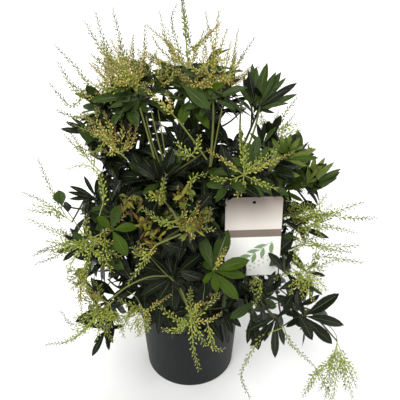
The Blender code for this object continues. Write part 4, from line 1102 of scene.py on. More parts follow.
def front_place(mass, near, x, y):
    """The point that stands at this place of the front view, about as far off as the mass and inside the box."""
    eye, _, ahead, up, lens = front_view()
    off = (mass_centre(mass) - eye).dot(ahead) - near
    across, rise = x - VIEW_SIZE // 2, VIEW_SIZE // 2 - y
    for step in range(60):
        away = off + (0.005 if step % 2 else -0.005) * step
        point = eye + (ahead + Vector((across, 0, 0)) / lens + up * rise / lens) * away
        if in_box(point):
            return point
    raise ValueError(f"no place for {x}, {y} by {mass}")


def in_pairs(flat):
    """Flat numbers as pairs of across and down."""
    return list(zip(flat[::2], flat[1::2]))


def grow_front_sprays(grown):
    """The sprays in view from the front, each tip a little nearer or further than its root."""
    for number, (mass, near, x, y, kinds, *lines) in enumerate(FRONT_SPRAYS):
        start, main = front_place(mass, near, x, y), None
        centre = mass_centre(mass)
        if kinds[0] not in STALK_RADII and (centre - start).length < LONGEST_TWIG:
            grown.twigs.append([centre, centre.lerp(start, 0.5), start])
        for k, (kind, flat) in enumerate(zip(kinds, lines)):
            rule = seed_of(mass, f"front {number}", k)
            depth = 0.0 if kind in STALK_RADII else rule.uniform(-0.02, 0.045)
            places = in_pairs(flat)
            points = [front_place(mass, near + depth * ((i + 1) / len(places)), *p) for i, p in enumerate(places)]
            root = start
            if k and mass not in STARS:
                root = spot_along(main, rule.uniform(0.0, 0.5))[0]
            line = smooth_path([root, *points], 16)
            main = main if k else line
            if kind in STALK_RADII:
                grown.bare.append((line, STALK_RADII[kind]))
            else:
                grown.racemes.append((line, SPRAY_KINDS[kind]))
    for mass, near, radius, *flat in FRONT_STEMS:
        line = smooth_path([front_place(mass, near, *place) for place in in_pairs(flat)], 14)
        grown.bare.append((line, radius * MM))


def grow_round_leaved(grown, mass, start):
    """A long thin twig with two round leaves at its tip, the way juvenile growth bears them."""
    tip, lengths = ROUND_LEAVED[mass]
    fork = start.lerp(mass_centre(mass), 0.5)
    grown.twigs.append([fork, fork.lerp(tip, 0.5) - UP * 0.008, tip])
    for k, length in enumerate(lengths):
        outward = heading(120 - 150 * k, 62 - 44 * k)
        upper = squared(Vector((0, -1, 0.3)), outward)
        grown.leaves.append(Leaf(tip, outward, upper, length, ROUND_WIDTH, 0.1, "mature" if k else "glossy"))


def grow_spurs(grown, bough, path, rooms, cells):
    """Short leafy side twigs along a bough, older and darker than the shoots."""
    count = int(length_of([p for p, _ in path]) * 0.8 / SPUR_GAP)
    for i in range(count):
        rule = seed_of(bough, "spur", i)
        root, _, direction = along(path, 0.22 + 0.76 * (i + rule.random() * 0.6) / max(count, 1))
        if root.z > HIGHEST_SPUR:
            continue
        for attempt in range(5):
            away = turned(direction, rule.uniform(48, 80), GOLDEN_ANGLE * i + 50 * attempt)
            reach = rule.uniform(*SPUR_LENGTH)
            tip = root + (away + UP * 0.3).normalized() * reach
            nearest = min(cells, key=lambda mass: off_segment(tip, *cells[mass]))
            if not in_sky(tip) and rooms[nearest].holds_loosely([tip, root.lerp(tip, 0.6)], 1.0):
                spur = [root, root + away * reach * 0.5, tip]
                grown.twigs.append(spur)
                grow_whorl(grown, rooms[nearest], nearest, f"{bough} {i}", spur, SPUR_LEAVES, "mature", lower=1)
                break


@lru_cache
def growth():
    """Everything that the rule grows: stems, twigs, stalks, leaves and racemes."""
    paths = skeleton()
    cells = {mass: (stem_start(mass, paths), mass_centre(mass)) for mass in MASSES}
    rooms = {mass: Room(mass, cells, paths) for mass in MASSES}
    grown = SimpleNamespace(stems=[], twigs=[], bare=[], stalks=[], leaves=[], racemes=[])
    for mass in MASSES:
        grow_mass(grown, mass, rooms[mass], cells[mass][0], paths)
    for bough, path in paths.items():
        if bough != "trunk":
            grow_spurs(grown, bough, path, rooms, cells)
    grow_front_whorls(grown)
    grow_front_sprays(grown)
    grow_tufts(grown)
    return grown


def grow_mass(grown, mass, room, start, paths):
    """One mass: the source's shoots with finer whorls and panicles, and leafy shoots between."""
    row = MASSES[mass]
    bare = mass in BARE_STEMS
    for number, shoot in enumerate(shoots_of(mass, start, room)):
        if number >= max(row.flowering, 1) and in_sky(shoot[-1]):
            continue
        if number:
            grown.twigs.append(shoot)
            end = shoot
        else:
            grown.stems.append(rooted(mass, [shoot[0], shoot[0].lerp(shoot[-1], 0.72), shoot[-1]], paths))
            end = [shoot[0], shoot[-1] - mass_axis(mass) * 0.022, shoot[-1]]
        flowering = number < row.flowering
        count = round(WHORL_LEAVES["side" if number else "leader"] * row.leafy)
        tone = TONES[row.tones[min(number, len(row.tones) - 1)]]
        splay = UPRIGHT_SPLAY if not flowering else BARE_SPLAY if bare else SPREAD_SPLAY
        grow_whorl(grown, room, mass, number, end, count, tone, splay, 0 if bare else LOWER_LEAVES)
        faces_front = (shoot[-1] - shoot[-2]).normalized().y < 0.2
        if flowering and not (mass in BEARERS and faces_front):
            grow_panicles(grown, room, mass, number, shoot, row.more if number < 2 else row.more // 2)
    if mass in ROUND_LEAVED:
        grow_round_leaved(grown, mass, start)
    for number, shoot in enumerate([] if bare else extra_shoots_of(mass, start, room)):
        if not in_sky(shoot[-1]):
            grown.twigs.append(shoot)
            count = round(SPUR_LEAVES * row.leafy)
            grow_whorl(grown, room, mass, f"extra {number}", shoot, count, "mature", lower=1)


def rooted(mass, shoot, paths):
    """A mass's stem with its root drawn back into the bough that carries it."""
    bough = bough_of(mass) or "trunk"
    share = INNER_MASSES.get(mass, 0.93)
    return [along(paths[bough], share)[0], *shoot]


# Meshes

# Rings of a tube's rounded tip: how far each stands beyond the end and how wide it is, in shares of the radius
TIP_RINGS = ((0.5, 0.87), (0.87, 0.5), (1.0, 0.04))


def placed(name, data):
    """A new object in the scene for this mesh, curve, light or camera."""
    made = bpy.data.objects.new(name, data)
    bpy.context.scene.collection.objects.link(made)
    return made


def mesh_from(shape, name):
    """A mesh of what a bmesh holds. The bmesh is freed."""
    mesh = bpy.data.meshes.new(name)
    shape.to_mesh(mesh)
    shape.free()
    return mesh


def joined_object(name, points, faces, material, uv=None):
    """One mesh object from arrays of points and of faces that all have the same number of corners."""
    mesh = bpy.data.meshes.new(name)
    mesh.vertices.add(len(points))
    mesh.vertices.foreach_set("co", np.asarray(points, np.float32).ravel())
    mesh.loops.add(faces.size)
    mesh.loops.foreach_set("vertex_index", np.asarray(faces, np.int32).ravel())
    mesh.polygons.add(len(faces))
    mesh.polygons.foreach_set("loop_start", np.arange(0, faces.size, faces.shape[1], dtype=np.int32))
    if uv is not None:
        layer = mesh.uv_layers.new(name="spread")
        layer.uv.foreach_set("vector", np.asarray(uv, np.float32)[faces.ravel()].ravel())
    mesh.update(calc_edges=True)
    mesh.validate()
    mesh.shade_smooth()
    mesh.materials.append(material)
    return placed(name, mesh)


def settle(piece, nodes=tuple(MASSES)):
    """Says what a finished piece rides on and which nodes it stands for."""
    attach(piece, BODY)
    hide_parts(*nodes)


class Batch:
    """Small shapes of one kind, gathered to be joined."""

    def __init__(self):
        self.points, self.faces, self.uv, self.size = [], [], [], 0

    def add(self, points, faces, uv=None):
        self.points.append(points)
        self.faces.append(faces + self.size)
        if uv is not None:
            self.uv.append(uv)
        self.size += len(points)

    def make(self, name, material):
        uv = np.concatenate(self.uv) if self.uv else None
        return joined_object(name, np.concatenate(self.points), np.concatenate(self.faces), material, uv)

    def make_aged(self, name, material, youth):
        """Makes the piece with one number for each point, which the material reads."""
        made = self.make(name, material)
        made.data.attributes.new("youth", "FLOAT", "POINT").data.foreach_set("value", np.concatenate(youth))
        return made


def grid_faces(rows, columns, closed):
    """Quads over a grid of points, closed round its columns or not."""
    r = np.arange(rows - 1)[:, None]
    c = np.arange(columns if closed else columns - 1)[None, :]
    d = (c + 1) % columns
    quads = np.stack([r * columns + c, r * columns + d, (r + 1) * columns + d, (r + 1) * columns + c], -1)
    return quads.reshape(-1, 4)


def frames_along(points):
    """A side and an upper direction at each point of a path, carried along without twist."""
    runs = np.gradient(points, axis=0)
    runs /= np.linalg.norm(runs, axis=1, keepdims=True)
    side = np.array(Vector(runs[0]).orthogonal().normalized())
    sides = []
    for run in runs:
        side = side - run * side.dot(run)
        side = side / np.linalg.norm(side)
        sides.append(side)
    return np.array(sides), np.cross(runs, sides)


def tube(points, radii, sides, round_tip=True, relief=None):
    """Points, faces and UVs of a tube through a path. UV runs round it and, in metres, along it."""
    points = np.asarray(points, float)
    radii = np.asarray(radii, float)
    if round_tip:
        run = points[-1] - points[-2]
        run /= np.linalg.norm(run)
        points = np.vstack([points, [points[-1] + run * radii[-1] * rise for rise, _ in TIP_RINGS]])
        radii = np.concatenate([radii, [radii[-1] * width for _, width in TIP_RINGS]])
    side, upper = frames_along(points)
    turns = np.linspace(0, tau, sides, endpoint=False)
    length = np.concatenate([[0], np.cumsum(np.linalg.norm(np.diff(points, axis=0), axis=1))])
    ring = np.cos(turns)[None, :, None] * side[:, None] + np.sin(turns)[None, :, None] * upper[:, None]
    reach = np.repeat(radii[:, None], sides, axis=1)
    if relief is not None:
        reach = reach + relief(turns, length, radii)
    surface = points[:, None] + ring * reach[:, :, None]
    uv = np.stack(np.broadcast_arrays(turns[None, :] / tau, length[:, None]), -1)
    return surface.reshape(-1, 3), grid_faces(len(points), sides, True), uv.reshape(-1, 2)


# Materials

# Sockets of a mix of colours: its factor and its two colours, and its outcome
MIX_INPUTS = (0, 6, 7)
MIXED = 2


def set_inputs(material, node, inputs):
    """Sets a node's inputs, each to a value, a colour or another node's output."""
    for name, value in inputs.items():
        socket = node.inputs[name]
        if isinstance(value, bpy.types.NodeSocket):
            material.node_tree.links.new(value, socket)
        else:
            socket.default_value = (*value, 1) if socket.type == "RGBA" else value


def add_node(material, kind, output, inputs, **settings):
    """Adds a node with its settings and inputs, and gives one of its outputs."""
    made = material.node_tree.nodes.new("ShaderNode" + kind)
    for name, value in settings.items():
        setattr(made, name, value)
    set_inputs(material, made, inputs)
    return made.outputs[output]


def new_material(name, kind="TexCoord", output="Object", **settings):
    """A material and its coordinates, which are places in the object's own metres unless they are named."""
    material = bpy.data.materials.new(name)
    material.use_nodes = True
    return material, add_node(material, kind, output, {}, **settings)


def grains(where, size, detail=3.0, roughness=0.5):
    """A noise's inputs for grains this many millimetres across."""
    return {"Vector": where, "Scale": 1 / (size * MM), "Detail": detail, "Roughness": roughness}


def streaks(material, spread, stretch, detail, roughness):
    """Streaks that run along a tube, so many round it and to the metre."""
    where = add_node(material, "VectorMath", "Vector", {0: spread, 1: stretch}, operation="MULTIPLY")
    inputs = {"Vector": where, "Scale": 1.0, "Detail": detail, "Roughness": roughness}
    return add_node(material, "TexNoise", "Fac", inputs)


def coated(material, mix, height=None, depth=0.0, strength=1.0, **values):
    """Finishes a material: a mix of colours, a relief of this depth in metres, and its shader's values."""
    inputs = {socket.replace("_", " "): value for socket, value in values.items()}
    inputs["Base Color"] = add_node(material, "Mix", MIXED, dict(zip(MIX_INPUTS, mix)), data_type="RGBA")
    if height:
        relief = {"Height": height, "Distance": depth, "Strength": strength}
        inputs["Normal"] = add_node(material, "Bump", "Normal", relief)
    set_inputs(material, material.node_tree.nodes["Principled BSDF"], inputs)
    return material


def mottled(name, size, detail, colours, roughness=0.5, relief=None, **values):
    """A whole material whose colour wanders between two over grains of a size in mm. Its relief has the size
    and detail of its own grains and their depth in metres."""
    material, where = new_material(name)
    patches = add_node(material, "TexNoise", "Fac", grains(where, size, detail, roughness))
    if relief:
        values["height"] = add_node(material, "TexNoise", "Fac", grains(where, *relief[:2]))
        values["depth"] = relief[2]
    return coated(material, (patches, *colours), **values)


def polypropylene():
    """Moulded polypropylene: a dull sheen, fine mould grain, and paler scuffs from handling."""
    settings = bpy.context.scene.pieris_pot
    material, where = new_material("moulded_polypropylene")
    marks = add_node(material, "TexNoise", "Fac", grains(where, 34, 6, 0.68))
    scuffs = {"Value": marks, "From Min": 0.60, "From Max": 0.78, "To Max": 0.45}
    mix = add_node(material, "MapRange", "Result", scuffs), settings.colour, settings.scuff
    wear = add_node(material, "TexNoise", "Fac", grains(where, 12, 4))
    rough = add_node(material, "MapRange", "Result", {"Value": wear, "To Min": 0.48, "To Max": 0.62})
    mould = add_node(material, "TexNoise", "Fac", grains(where, 0.9, 2))
    return coated(material, mix, mould, 0.00004, 0.6, IOR=1.49, Specular_IOR_Level=0.3, Roughness=rough)


def peat():
    """Peat compost: matt, fibrous and dark, with paler crumbs."""
    settings = bpy.context.scene.pieris_compost
    shades = settings.colour, settings.fibre
    return mottled("moist_peat_compost", 5, 6, shades, 0.7, (2, 4, 0.0006), Roughness=0.95)


def bark():
    """Bark of old wood: grey-brown, split into fine upright ridges a millimetre or two apart."""
    settings = bpy.context.scene.pieris_bark
    material, spread = new_material("fissured_bark", "UVMap", "UV", uv_map="spread")
    ridges = streaks(material, spread, (14.0, 90.0, 0.0), 5.0, 0.6)
    split = add_node(material, "MapRange", "Result", {"Value": ridges, "From Min": 0.38, "From Max": 0.62})
    youth = add_node(material, "Attribute", "Fac", {}, attribute_name="youth")
    shades = (settings.furrow, settings.ridge), (darkened(settings.young, 0.6), settings.young)
    mixes = [dict(zip(MIX_INPUTS, (split, *pair))) for pair in shades]
    old, new = [add_node(material, "Mix", MIXED, mix, data_type="RGBA") for mix in mixes]
    return coated(material, (youth, old, new), ridges, 0.0007, Roughness=0.85)


def young_bark(name, pale, dark):
    """Skin of young shoots: smooth and faintly waxy, streaked along its length."""
    material, spread = new_material(name, "UVMap", "UV", uv_map="spread")
    lines = streaks(material, spread, (6.0, 40.0, 0.0), 3.0, 0.5)
    return coated(material, (lines, dark, pale), lines, 0.0002, Roughness=0.6)


def stalk_skin(settings):
    """Skin of the raceme stalks: yellow-green and smooth, browned by the sun towards the tips."""
    material, where = new_material("raceme_stalk_skin")
    patches = add_node(material, "TexNoise", "Fac", grains(where, 6))
    mix = dict(zip(MIX_INPUTS, (patches, darkened(settings.lime, 0.6), darkened(settings.lime, 0.9))))
    young = add_node(material, "Mix", MIXED, mix, data_type="RGBA")
    age = add_node(material, "Attribute", "Fac", {}, attribute_name="youth")
    return coated(material, (age, young, settings.tip), Roughness=0.5)


def darkened(colour, share):
    return tuple(part * share for part in colour)


def leathery_leaf(name, colour, roughness, sheen):
    """A leathery leaf: waxy, with a sheen that its side veins break up, two to three millimetres apart."""
    # The colour wanders over 22 mm patches from 0.45 to 1.45 of the tone: partly the leaf's own uneven tone, partly
    # painted shade and painted highlight.
    shades = darkened(colour, 0.45), darkened(colour, 1.45)
    material = mottled(name, 22, 4, shades, 0.6, IOR=1.40, Roughness=roughness, Specular_IOR_Level=sheen)
    spread = add_node(material, "UVMap", "UV", {}, uv_map="spread")
    veins = {"Vector": spread, "Scale": 1.0, "Distortion": 1.5, "Detail": 1.0}
    height = add_node(material, "TexWave", "Fac", veins, bands_direction="DIAGONAL")
    relief = add_node(material, "Bump", "Normal", {"Height": height, "Distance": 0.00022})
    set_inputs(material, material.node_tree.nodes["Principled BSDF"], {"Normal": relief})
    return material


def bud_skin(name, colour):
    """A closed bud: smooth and waxy."""
    return mottled(name, 3, 2, (darkened(colour, 0.82), darkened(colour, 1.15)), IOR=1.4, Roughness=0.38)


# Pieces

# Softboxes: their power, how wide each looks in degrees, and how each is turned
SOFTBOXES = (
    ("overhead_softbox", 2.8, 30, (36, -12, 0)),
    ("back_softbox", 1.9, 50, (-34, 10, 0)),
)


class PIERIS_OT_stage(bpy.types.Operator):
    """Set the floor, the soft light and the camera"""

    bl_idname = "pieris.stage"
    bl_label = "Stage"

    def execute(self, context):
        settings = context.scene.pieris_stage
        shape = bmesh.new()
        bmesh.ops.create_circle(shape, cap_ends=True, segments=96, radius=12)
        floor = placed("floor", mesh_from(shape, "floor"))
        shades = darkened(settings.floor, 0.99), settings.floor
        floor.data.materials.append(mottled("matt_floor_paint", 60, 3, shades, Roughness=0.9))
        world = bpy.data.worlds.new("light_tent")
        world.use_nodes = True
        tent = world.node_tree.nodes["Background"]
        tent.inputs["Color"].default_value = (1, 1, 1, 1)
        tent.inputs["Strength"].default_value = 0.33
        context.scene.world = world
        for name, power, spread, turn in SOFTBOXES:
            light = bpy.data.lights.new(name, "SUN")
            light.energy = power
            light.angle = radians(spread)
            placed(name, light).rotation_euler = [radians(part) for part in turn]
        camera = bpy.data.cameras.new("camera")
        camera.lens = settings.lens
        camera.sensor_width = SENSOR_WIDTH
        eye, aim = front_view()[:2]
        holder = placed("camera", camera)
        holder.location = eye
        holder.rotation_euler = (aim - eye).to_track_quat("-Z", "Y").to_euler()
        context.scene.camera = holder
        context.scene.view_settings.view_transform = "Standard"
        return {"FINISHED"}


POT_TURNS = 144
DRAIN_SLOTS = 8
DRAIN_SLOT_DEPTH = 0.03
DRAIN_SLOT_WIDTH = 0.014
DRAIN_SLOT_HEIGHT = 1.8 * MM
COMPOST_RINGS = 60
COMPOST_SPOKES = 140
COMPOST_CRUMBS = 700


def arc(centre_r, centre_z, radius, first, last, steps=5):
    """Points on a rounded edge of a profile, by angle in degrees from the outward level."""
    angles = [radians(first + (last - first) * i / steps) for i in range(steps + 1)]
    return [(centre_r + radius * cos(a), centre_z + radius * sin(a)) for a in angles]


def pot_profile(settings):
    """The pot's half section, from its axis over the inside, the lip and down the outside."""
    lip, foot, wall = POT_LIP_RADIUS, POT_FOOT_RADIUS, settings.wall
    collar_foot = POT_HEIGHT - settings.collar
    edge = 0.7 * MM
    inside = [(0, 2 * wall), (foot - wall - 4 * MM, 2 * wall), (foot - wall, 2 * wall + 4 * MM)]
    inside += [(lip - 3 * MM - wall, POT_HEIGHT - 12 * MM)]
    outside = arc(lip - wall, POT_HEIGHT - edge, edge, 180, 90, 4)
    outside += arc(lip - edge, POT_HEIGHT - edge, edge, 90, 0)
    outside += arc(lip - edge, POT_HEIGHT - 4 * MM + edge, edge, 0, -80)
    outside += arc(lip - 1.9 * MM, collar_foot + 1.6 * MM, 0.8 * MM, 0, -80)
    outside += [(pot_radius(collar_foot) - 2.2 * MM, collar_foot)]
    outside += [(pot_radius(POT_HEIGHT * s) - 2.0 * MM * s, POT_HEIGHT * s) for s in (0.7, 0.5, 0.3, 0.12)]
    outside += arc(foot - 4 * MM, 4 * MM, 4 * MM, 0, -90, 6)
    outside += [(foot - 12 * MM, 0), (foot - 14 * MM, 1.2 * MM), (0, 1.2 * MM)]
    return inside + outside


class PIERIS_OT_pot(bpy.types.Operator):
    """Turn the moulded pot and cut its drainage slots"""

    bl_idname = "pieris.pot"
    bl_label = "Pot"

    def execute(self, context):
        shape = bmesh.new()
        profile = [shape.verts.new((r, 0, z)) for r, z in pot_profile(context.scene.pieris_pot)]
        for a, b in pairwise(profile):
            shape.edges.new((a, b))
        pot = placed("pot_shell", mesh_from(shape, "pot_profile"))
        screw = pot.modifiers.new("turn", "SCREW")
        screw.steps = screw.render_steps = POT_TURNS
        screw.use_merge_vertices = True
        screw.merge_threshold = 0.00001
        slots = bmesh.new()
        for i in range(DRAIN_SLOTS):
            turn = Matrix.Rotation(tau * (i + 0.5) / DRAIN_SLOTS, 4, "Z")
            size = Matrix.Diagonal((DRAIN_SLOT_DEPTH, DRAIN_SLOT_WIDTH, 2 * DRAIN_SLOT_HEIGHT, 1))
            bmesh.ops.create_cube(slots, matrix=turn @ Matrix.Translation((POT_FOOT_RADIUS, 0, 0)) @ size)
        cutter = placed("drain_slots", mesh_from(slots, "drain_slots"))
        pot.modifiers.new("slots", "BOOLEAN").object = cutter
        graph = context.evaluated_depsgraph_get()
        shape = bmesh.new()
        shape.from_mesh(bpy.data.meshes.new_from_object(pot.evaluated_get(graph)))
        pot.modifiers.clear()
        bpy.data.objects.remove(cutter)
        bmesh.ops.recalc_face_normals(shape, faces=shape.faces)
        pot.data = mesh_from(shape, "pot_shell")
        pot.data.shade_smooth()
        pot.data.set_sharp_from_angle(angle=radians(35))
        pot.data.materials.append(polypropylene())
        settle(pot, ["pot"])
        return {"FINISHED"}


class PIERIS_OT_compost(bpy.types.Operator):
    """Lay the compost's crumbled surface"""

    bl_idname = "pieris.compost"
    bl_label = "Compost"

    def execute(self, context):
        material = peat()
        low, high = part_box("compost")
        radius = (high.x - low.x) / 2 - 0.2 * MM
        points = []
        for r in np.linspace(0.001, radius, COMPOST_RINGS):
            for a in np.linspace(0, tau, COMPOST_SPOKES, endpoint=False):
                x, y = r * cos(a), r * sin(a)
                lumps = noise.noise(Vector((x, y, 0)) * 90) * 1.6 + noise.noise(Vector((x, y, 3)) * 260) * 0.9
                heap = COMPOST_HEAP * (1 - (r / radius) ** 2)
                points.append((x, y, COMPOST_LEVEL + heap + min(lumps, 1.4) * MM))
        faces = grid_faces(COMPOST_RINGS, COMPOST_SPOKES, True)
        ground = joined_object("compost_top", points, faces, material)
        ground.data.flip_normals()
        settle(ground, ["compost"])
        crumbs = self.crumbs(context.scene.pieris_compost.crumb, radius)
        settle(crumbs.make("compost_crumbs", material), ["compost"])
        return {"FINISHED"}

    def crumbs(self, full, radius):
        """Crumbs of bark and fibre, scattered over the surface."""
        crumbs = Batch()
        rule = random.Random("crumbs")
        shape = bmesh.new()
        bmesh.ops.create_icosphere(shape, subdivisions=1, radius=0.5)
        base = np.array([v.co for v in shape.verts])
        faces = np.array([[v.index for v in f.verts] for f in shape.faces])
        shape.free()
        for _ in range(COMPOST_CRUMBS):
            a = rule.uniform(0, tau)
            r = radius * sqrt(rule.random()) * 0.97
            size = full * rule.uniform(0.3, 1.1)
            place = Vector((r * cos(a), r * sin(a), COMPOST_LEVEL + COMPOST_HEAP * 0.7))
            spin = Matrix.Rotation(rule.uniform(0, tau), 3, "Z")
            tilt = Matrix.Rotation(rule.uniform(-0.5, 0.5), 3, "X")
            stretch = Matrix.Diagonal((size, size * rule.uniform(0.35, 0.8), size * rule.uniform(0.2, 0.5)))
            rough = base * (1 + 0.25 * np.array([rule.uniform(-1, 1) for _ in base]))[:, None]
            crumbs.add(rough @ np.array((spin @ tilt @ stretch).transposed()) + np.array(place), faces)
        return crumbs


class PIERIS_OT_label(bpy.types.Operator):
    """Make the blank plant label, its printed fields and its stake"""

    bl_idname = "pieris.label"
    bl_label = "Label"

    def execute(self, context):
        settings = context.scene.pieris_label
        rise, corner = CARD_HEIGHT / 2, CARD_CORNER
        turns = [tau * i / 32 for i in range(32)]
        hole_y = rise - CARD_HOLE_DROP
        hole = [(CARD_HOLE_RADIUS * cos(a), hole_y + CARD_HOLE_RADIUS * sin(a)) for a in turns]
        white = card_stock("white_card_stock", settings.field)
        flat_piece("card", [rounded_outline(-rise, rise, (corner,) * 4), hole], CARD_THICKNESS, white)
        leaves = []
        for k in range(9):
            root = (0.034 - 0.0072 * k, -0.010 - 0.0056 * k)
            angle = (196 if k % 2 else 268) - 3 * k
            leaves.append(leaf_print(root, angle, 0.027 - 0.0012 * k, 0.0082))
        leaves.append(leaf_print((0.040, -0.004), 217.9, 0.078, 0.0012))
        bells = []
        for k in range(12):
            row, place = divmod(k, 6)
            bells.append(bell_print((0.036 - 0.008 * place, -0.034 - 0.005 * place - 0.009 * row), 0.0017))
        upper = rounded_outline(BAND_TOP, rise, (corner, corner, 0, 0))
        band = rounded_outline(BAND_FOOT, BAND_TOP, (0,) * 4)
        prints = (
            ("card_upper_print", [upper, hole], faded_print(settings)),
            ("card_band_print", [band], card_stock("band_print", settings.band)),
            ("card_sprig_leaves", leaves, card_stock("sprig_print", settings.sprig)),
            ("card_sprig_bells", bells, card_stock("bell_print", settings.bells)),
        )
        for name, loops, material in prints:
            flat_piece(name, loops, PRINT_LIFT, material, CARD_THICKNESS / 2 + PRINT_LIFT / 2)
        make_stake(white)
        return {"FINISHED"}


STAKE_THICKNESS = 1.4 * MM
STAKE_REACH = 0.030
CARD_CORNER = 0.006
CARD_HOLE_RADIUS = 3.0 * MM
CARD_HOLE_DROP = 0.010
CARD_THICKNESS = 0.8 * MM
PRINT_LIFT = 0.06 * MM
BAND_TOP = 0.016
BAND_FOOT = 0.001
# The card's finish: the size in mm, detail and depth in metres of its grain, and its sheen
ORANGE_PEEL = (1.5, 2, 0.00002)
CARD_SHEEN = {"Roughness": 0.36, "IOR": 1.49}


def rounded_outline(low, high, corners):
    """The outline of the card between two heights, with the radius of each corner from the upper right round."""
    loop = []
    half = CARD_WIDTH / 2
    spots = [(half, high, -1, -1), (-half, high, 1, -1), (-half, low, 1, 1), (half, low, -1, 1)]
    for k, ((x, y, sx, sy), radius) in enumerate(zip(spots, corners)):
        steps = 8 if radius else 0
        for i in range(steps + 1):
            a = radians(90 * (k + i / max(steps, 1)))
            loop.append((x + sx * radius + radius * cos(a), y + sy * radius + radius * sin(a)))
    return loop


def flat_piece(name, loops, thickness, material, lift=0.0):
    """A flat closed shape on the card's plane, cut from outlines in the card's own coordinates."""
    curve = bpy.data.curves.new(name, "CURVE")
    curve.dimensions = "2D"
    curve.fill_mode = "BOTH"
    curve.extrude = thickness / 2
    for loop in loops:
        spline = curve.splines.new("POLY")
        spline.points.add(len(loop) - 1)
        for point, (x, y) in zip(spline.points, loop):
            point.co = (x, y, 0, 1)
        spline.use_cyclic_u = True
    source = placed(name, curve)
    graph = bpy.context.evaluated_depsgraph_get()
    shape = bmesh.new()
    shape.from_mesh(bpy.data.meshes.new_from_object(source.evaluated_get(graph)))
    bpy.data.objects.remove(source)
    bmesh.ops.remove_doubles(shape, verts=shape.verts, dist=0.000005)
    bmesh.ops.recalc_face_normals(shape, faces=shape.faces)
    mesh = mesh_from(shape, name)
    layer = mesh.uv_layers.new(name="spread")
    for corner in mesh.loops:
        spot = mesh.vertices[corner.vertex_index].co
        layer.uv[corner.index].vector = (spot.x / CARD_WIDTH + 0.5, spot.y / CARD_HEIGHT + 0.5)
    mesh.transform(card_matrix() @ Matrix.Translation((0, 0, lift)))
    mesh.materials.append(material)
    settle(placed(name, mesh), ["label"])


def card_stock(name, colour):
    """Printed polypropylene card: smooth, with a satin sheen and a faint orange-peel."""
    return mottled(name, 18, 3, (darkened(colour, 0.97), colour), relief=ORANGE_PEEL, **CARD_SHEEN)


def faded_print(settings):
    """The card's upper print: taupe at its top that fades to cream."""
    material, where = new_material("faded_print")
    spread = add_node(material, "UVMap", "UV", {}, uv_map="spread")
    height = add_node(material, "SeparateXYZ", "Y", {0: spread})
    fade = add_node(material, "MapRange", "Result", {"Value": height, "From Min": 0.97, "From Max": 0.66})
    peel = add_node(material, "TexNoise", "Fac", grains(where, *ORANGE_PEEL[:2]))
    return coated(material, (fade, settings.top, settings.fade), peel, ORANGE_PEEL[2], **CARD_SHEEN)


def leaf_print(root, angle, length, width):
    """A small leaf's outline for the printed sprig."""
    turn = Matrix.Rotation(radians(angle), 2)
    side = [(s / 8 * length, width / 2 * sin(pi * (s / 8) ** 0.9)) for s in range(1, 8)]
    loop = [(0, 0), *side, (length, 0), *[(x, -y) for x, y in reversed(side)]]
    return [tuple(Vector(root) + turn @ Vector(p)) for p in loop]


def bell_print(root, size):
    """A small round bud's outline for the printed sprig."""
    angles = [tau * i / 10 for i in range(10)]
    return [(root[0] + size * cos(a), root[1] + size * 1.3 * sin(a)) for a in angles]


def make_stake(material):
    """The pointed stake behind the card, from the compost up its back."""
    top = card_matrix() @ Vector((0, STAKE_REACH - CARD_HEIGHT / 2, -CARD_THICKNESS / 2 - 0.5 * MM))
    run = top - STAKE_FOOT
    shape = bmesh.new()
    bmesh.ops.create_cube(shape, size=1)
    bmesh.ops.subdivide_edges(shape, edges=shape.edges[:], cuts=6, use_grid_fill=True)
    for v in shape.verts:
        share = v.co.z + 0.5
        taper = min(0.5 + share * 5, 1.0)
        v.co = Vector((v.co.x * STAKE_WIDTH * taper, v.co.y * STAKE_THICKNESS, share * run.length))
    corners = [e for e in shape.edges if e.calc_face_angle(0) > 0.7]
    bmesh.ops.bevel(shape, geom=corners, offset=0.3 * MM, segments=2)
    z = run.normalized()
    x = Vector((0, 1, 0)).cross(z).normalized()
    turn = Matrix((x, z.cross(x), z)).transposed().to_4x4()
    bmesh.ops.transform(shape, matrix=Matrix.Translation(STAKE_FOOT) @ turn, verts=shape.verts)
    stake = placed("label_stake", mesh_from(shape, "label_stake"))
    stake.data.materials.append(material)
    settle(stake, ["label"])


BARK_GAP = 1.6 * MM
# Heights between which bark turns to green skin
GREEN_FROM = 0.36
GREEN_TO = 0.46


def furrows(depth, seed):
    """Relief for bark: fine upright ridges that wander and split."""

    def relief(turns, length, radii):
        made = np.zeros((len(length), len(turns)))
        for i, (z, r) in enumerate(zip(length, radii)):
            for k, a in enumerate(turns):
                spot = Vector((cos(a) * r / BARK_GAP, sin(a) * r / BARK_GAP, z * 60 + seed))
                made[i, k] = noise.noise(spot) + 0.5 * noise.noise(spot * 2.3)
        return made * depth * np.minimum(radii / 0.01, 1.0)[:, None]

    return relief


class PIERIS_OT_limbs(bpy.types.Operator):
    """Clothe the trunk, limbs and boughs in bark"""

    bl_idname = "pieris.limbs"
    bl_label = "Trunk, limbs and boughs"

    def execute(self, context):
        settings = context.scene.pieris_bark
        material = bark()
        kinds = {kind: (Batch(), []) for kind in ("trunk", "limb", "bough")}
        for number, (name, path) in enumerate(skeleton().items()):
            kind = name.split("_")[0]
            points, radii = map(list, zip(*path))
            count, sides = (60, 40) if kind == "trunk" else (36, 16)
            if kind != "trunk":
                run = (points[1] - points[0]).normalized()
                points.insert(0, points[0] - run * radii[0] * 0.8)
                radii.insert(0, radii[0] * 1.25)
            widths = np.interp(np.linspace(0, len(radii) - 1, count), range(len(radii)), radii)
            relief = furrows(settings.relief, number * 7.0)
            skin, faces, uv = tube(smooth_path(points, count), widths, sides, True, relief)
            batch, youth = kinds[kind]
            batch.add(skin, faces, uv)
            youth.append(np.clip((skin[:, 2] - GREEN_FROM) / (GREEN_TO - GREEN_FROM), 0, 1))
        for kind, (batch, youth) in kinds.items():
            nodes = [name for name in skeleton() if name.startswith(kind)]
            settle(batch.make_aged(f"{kind}_bark", material, youth), nodes)
        return {"FINISHED"}


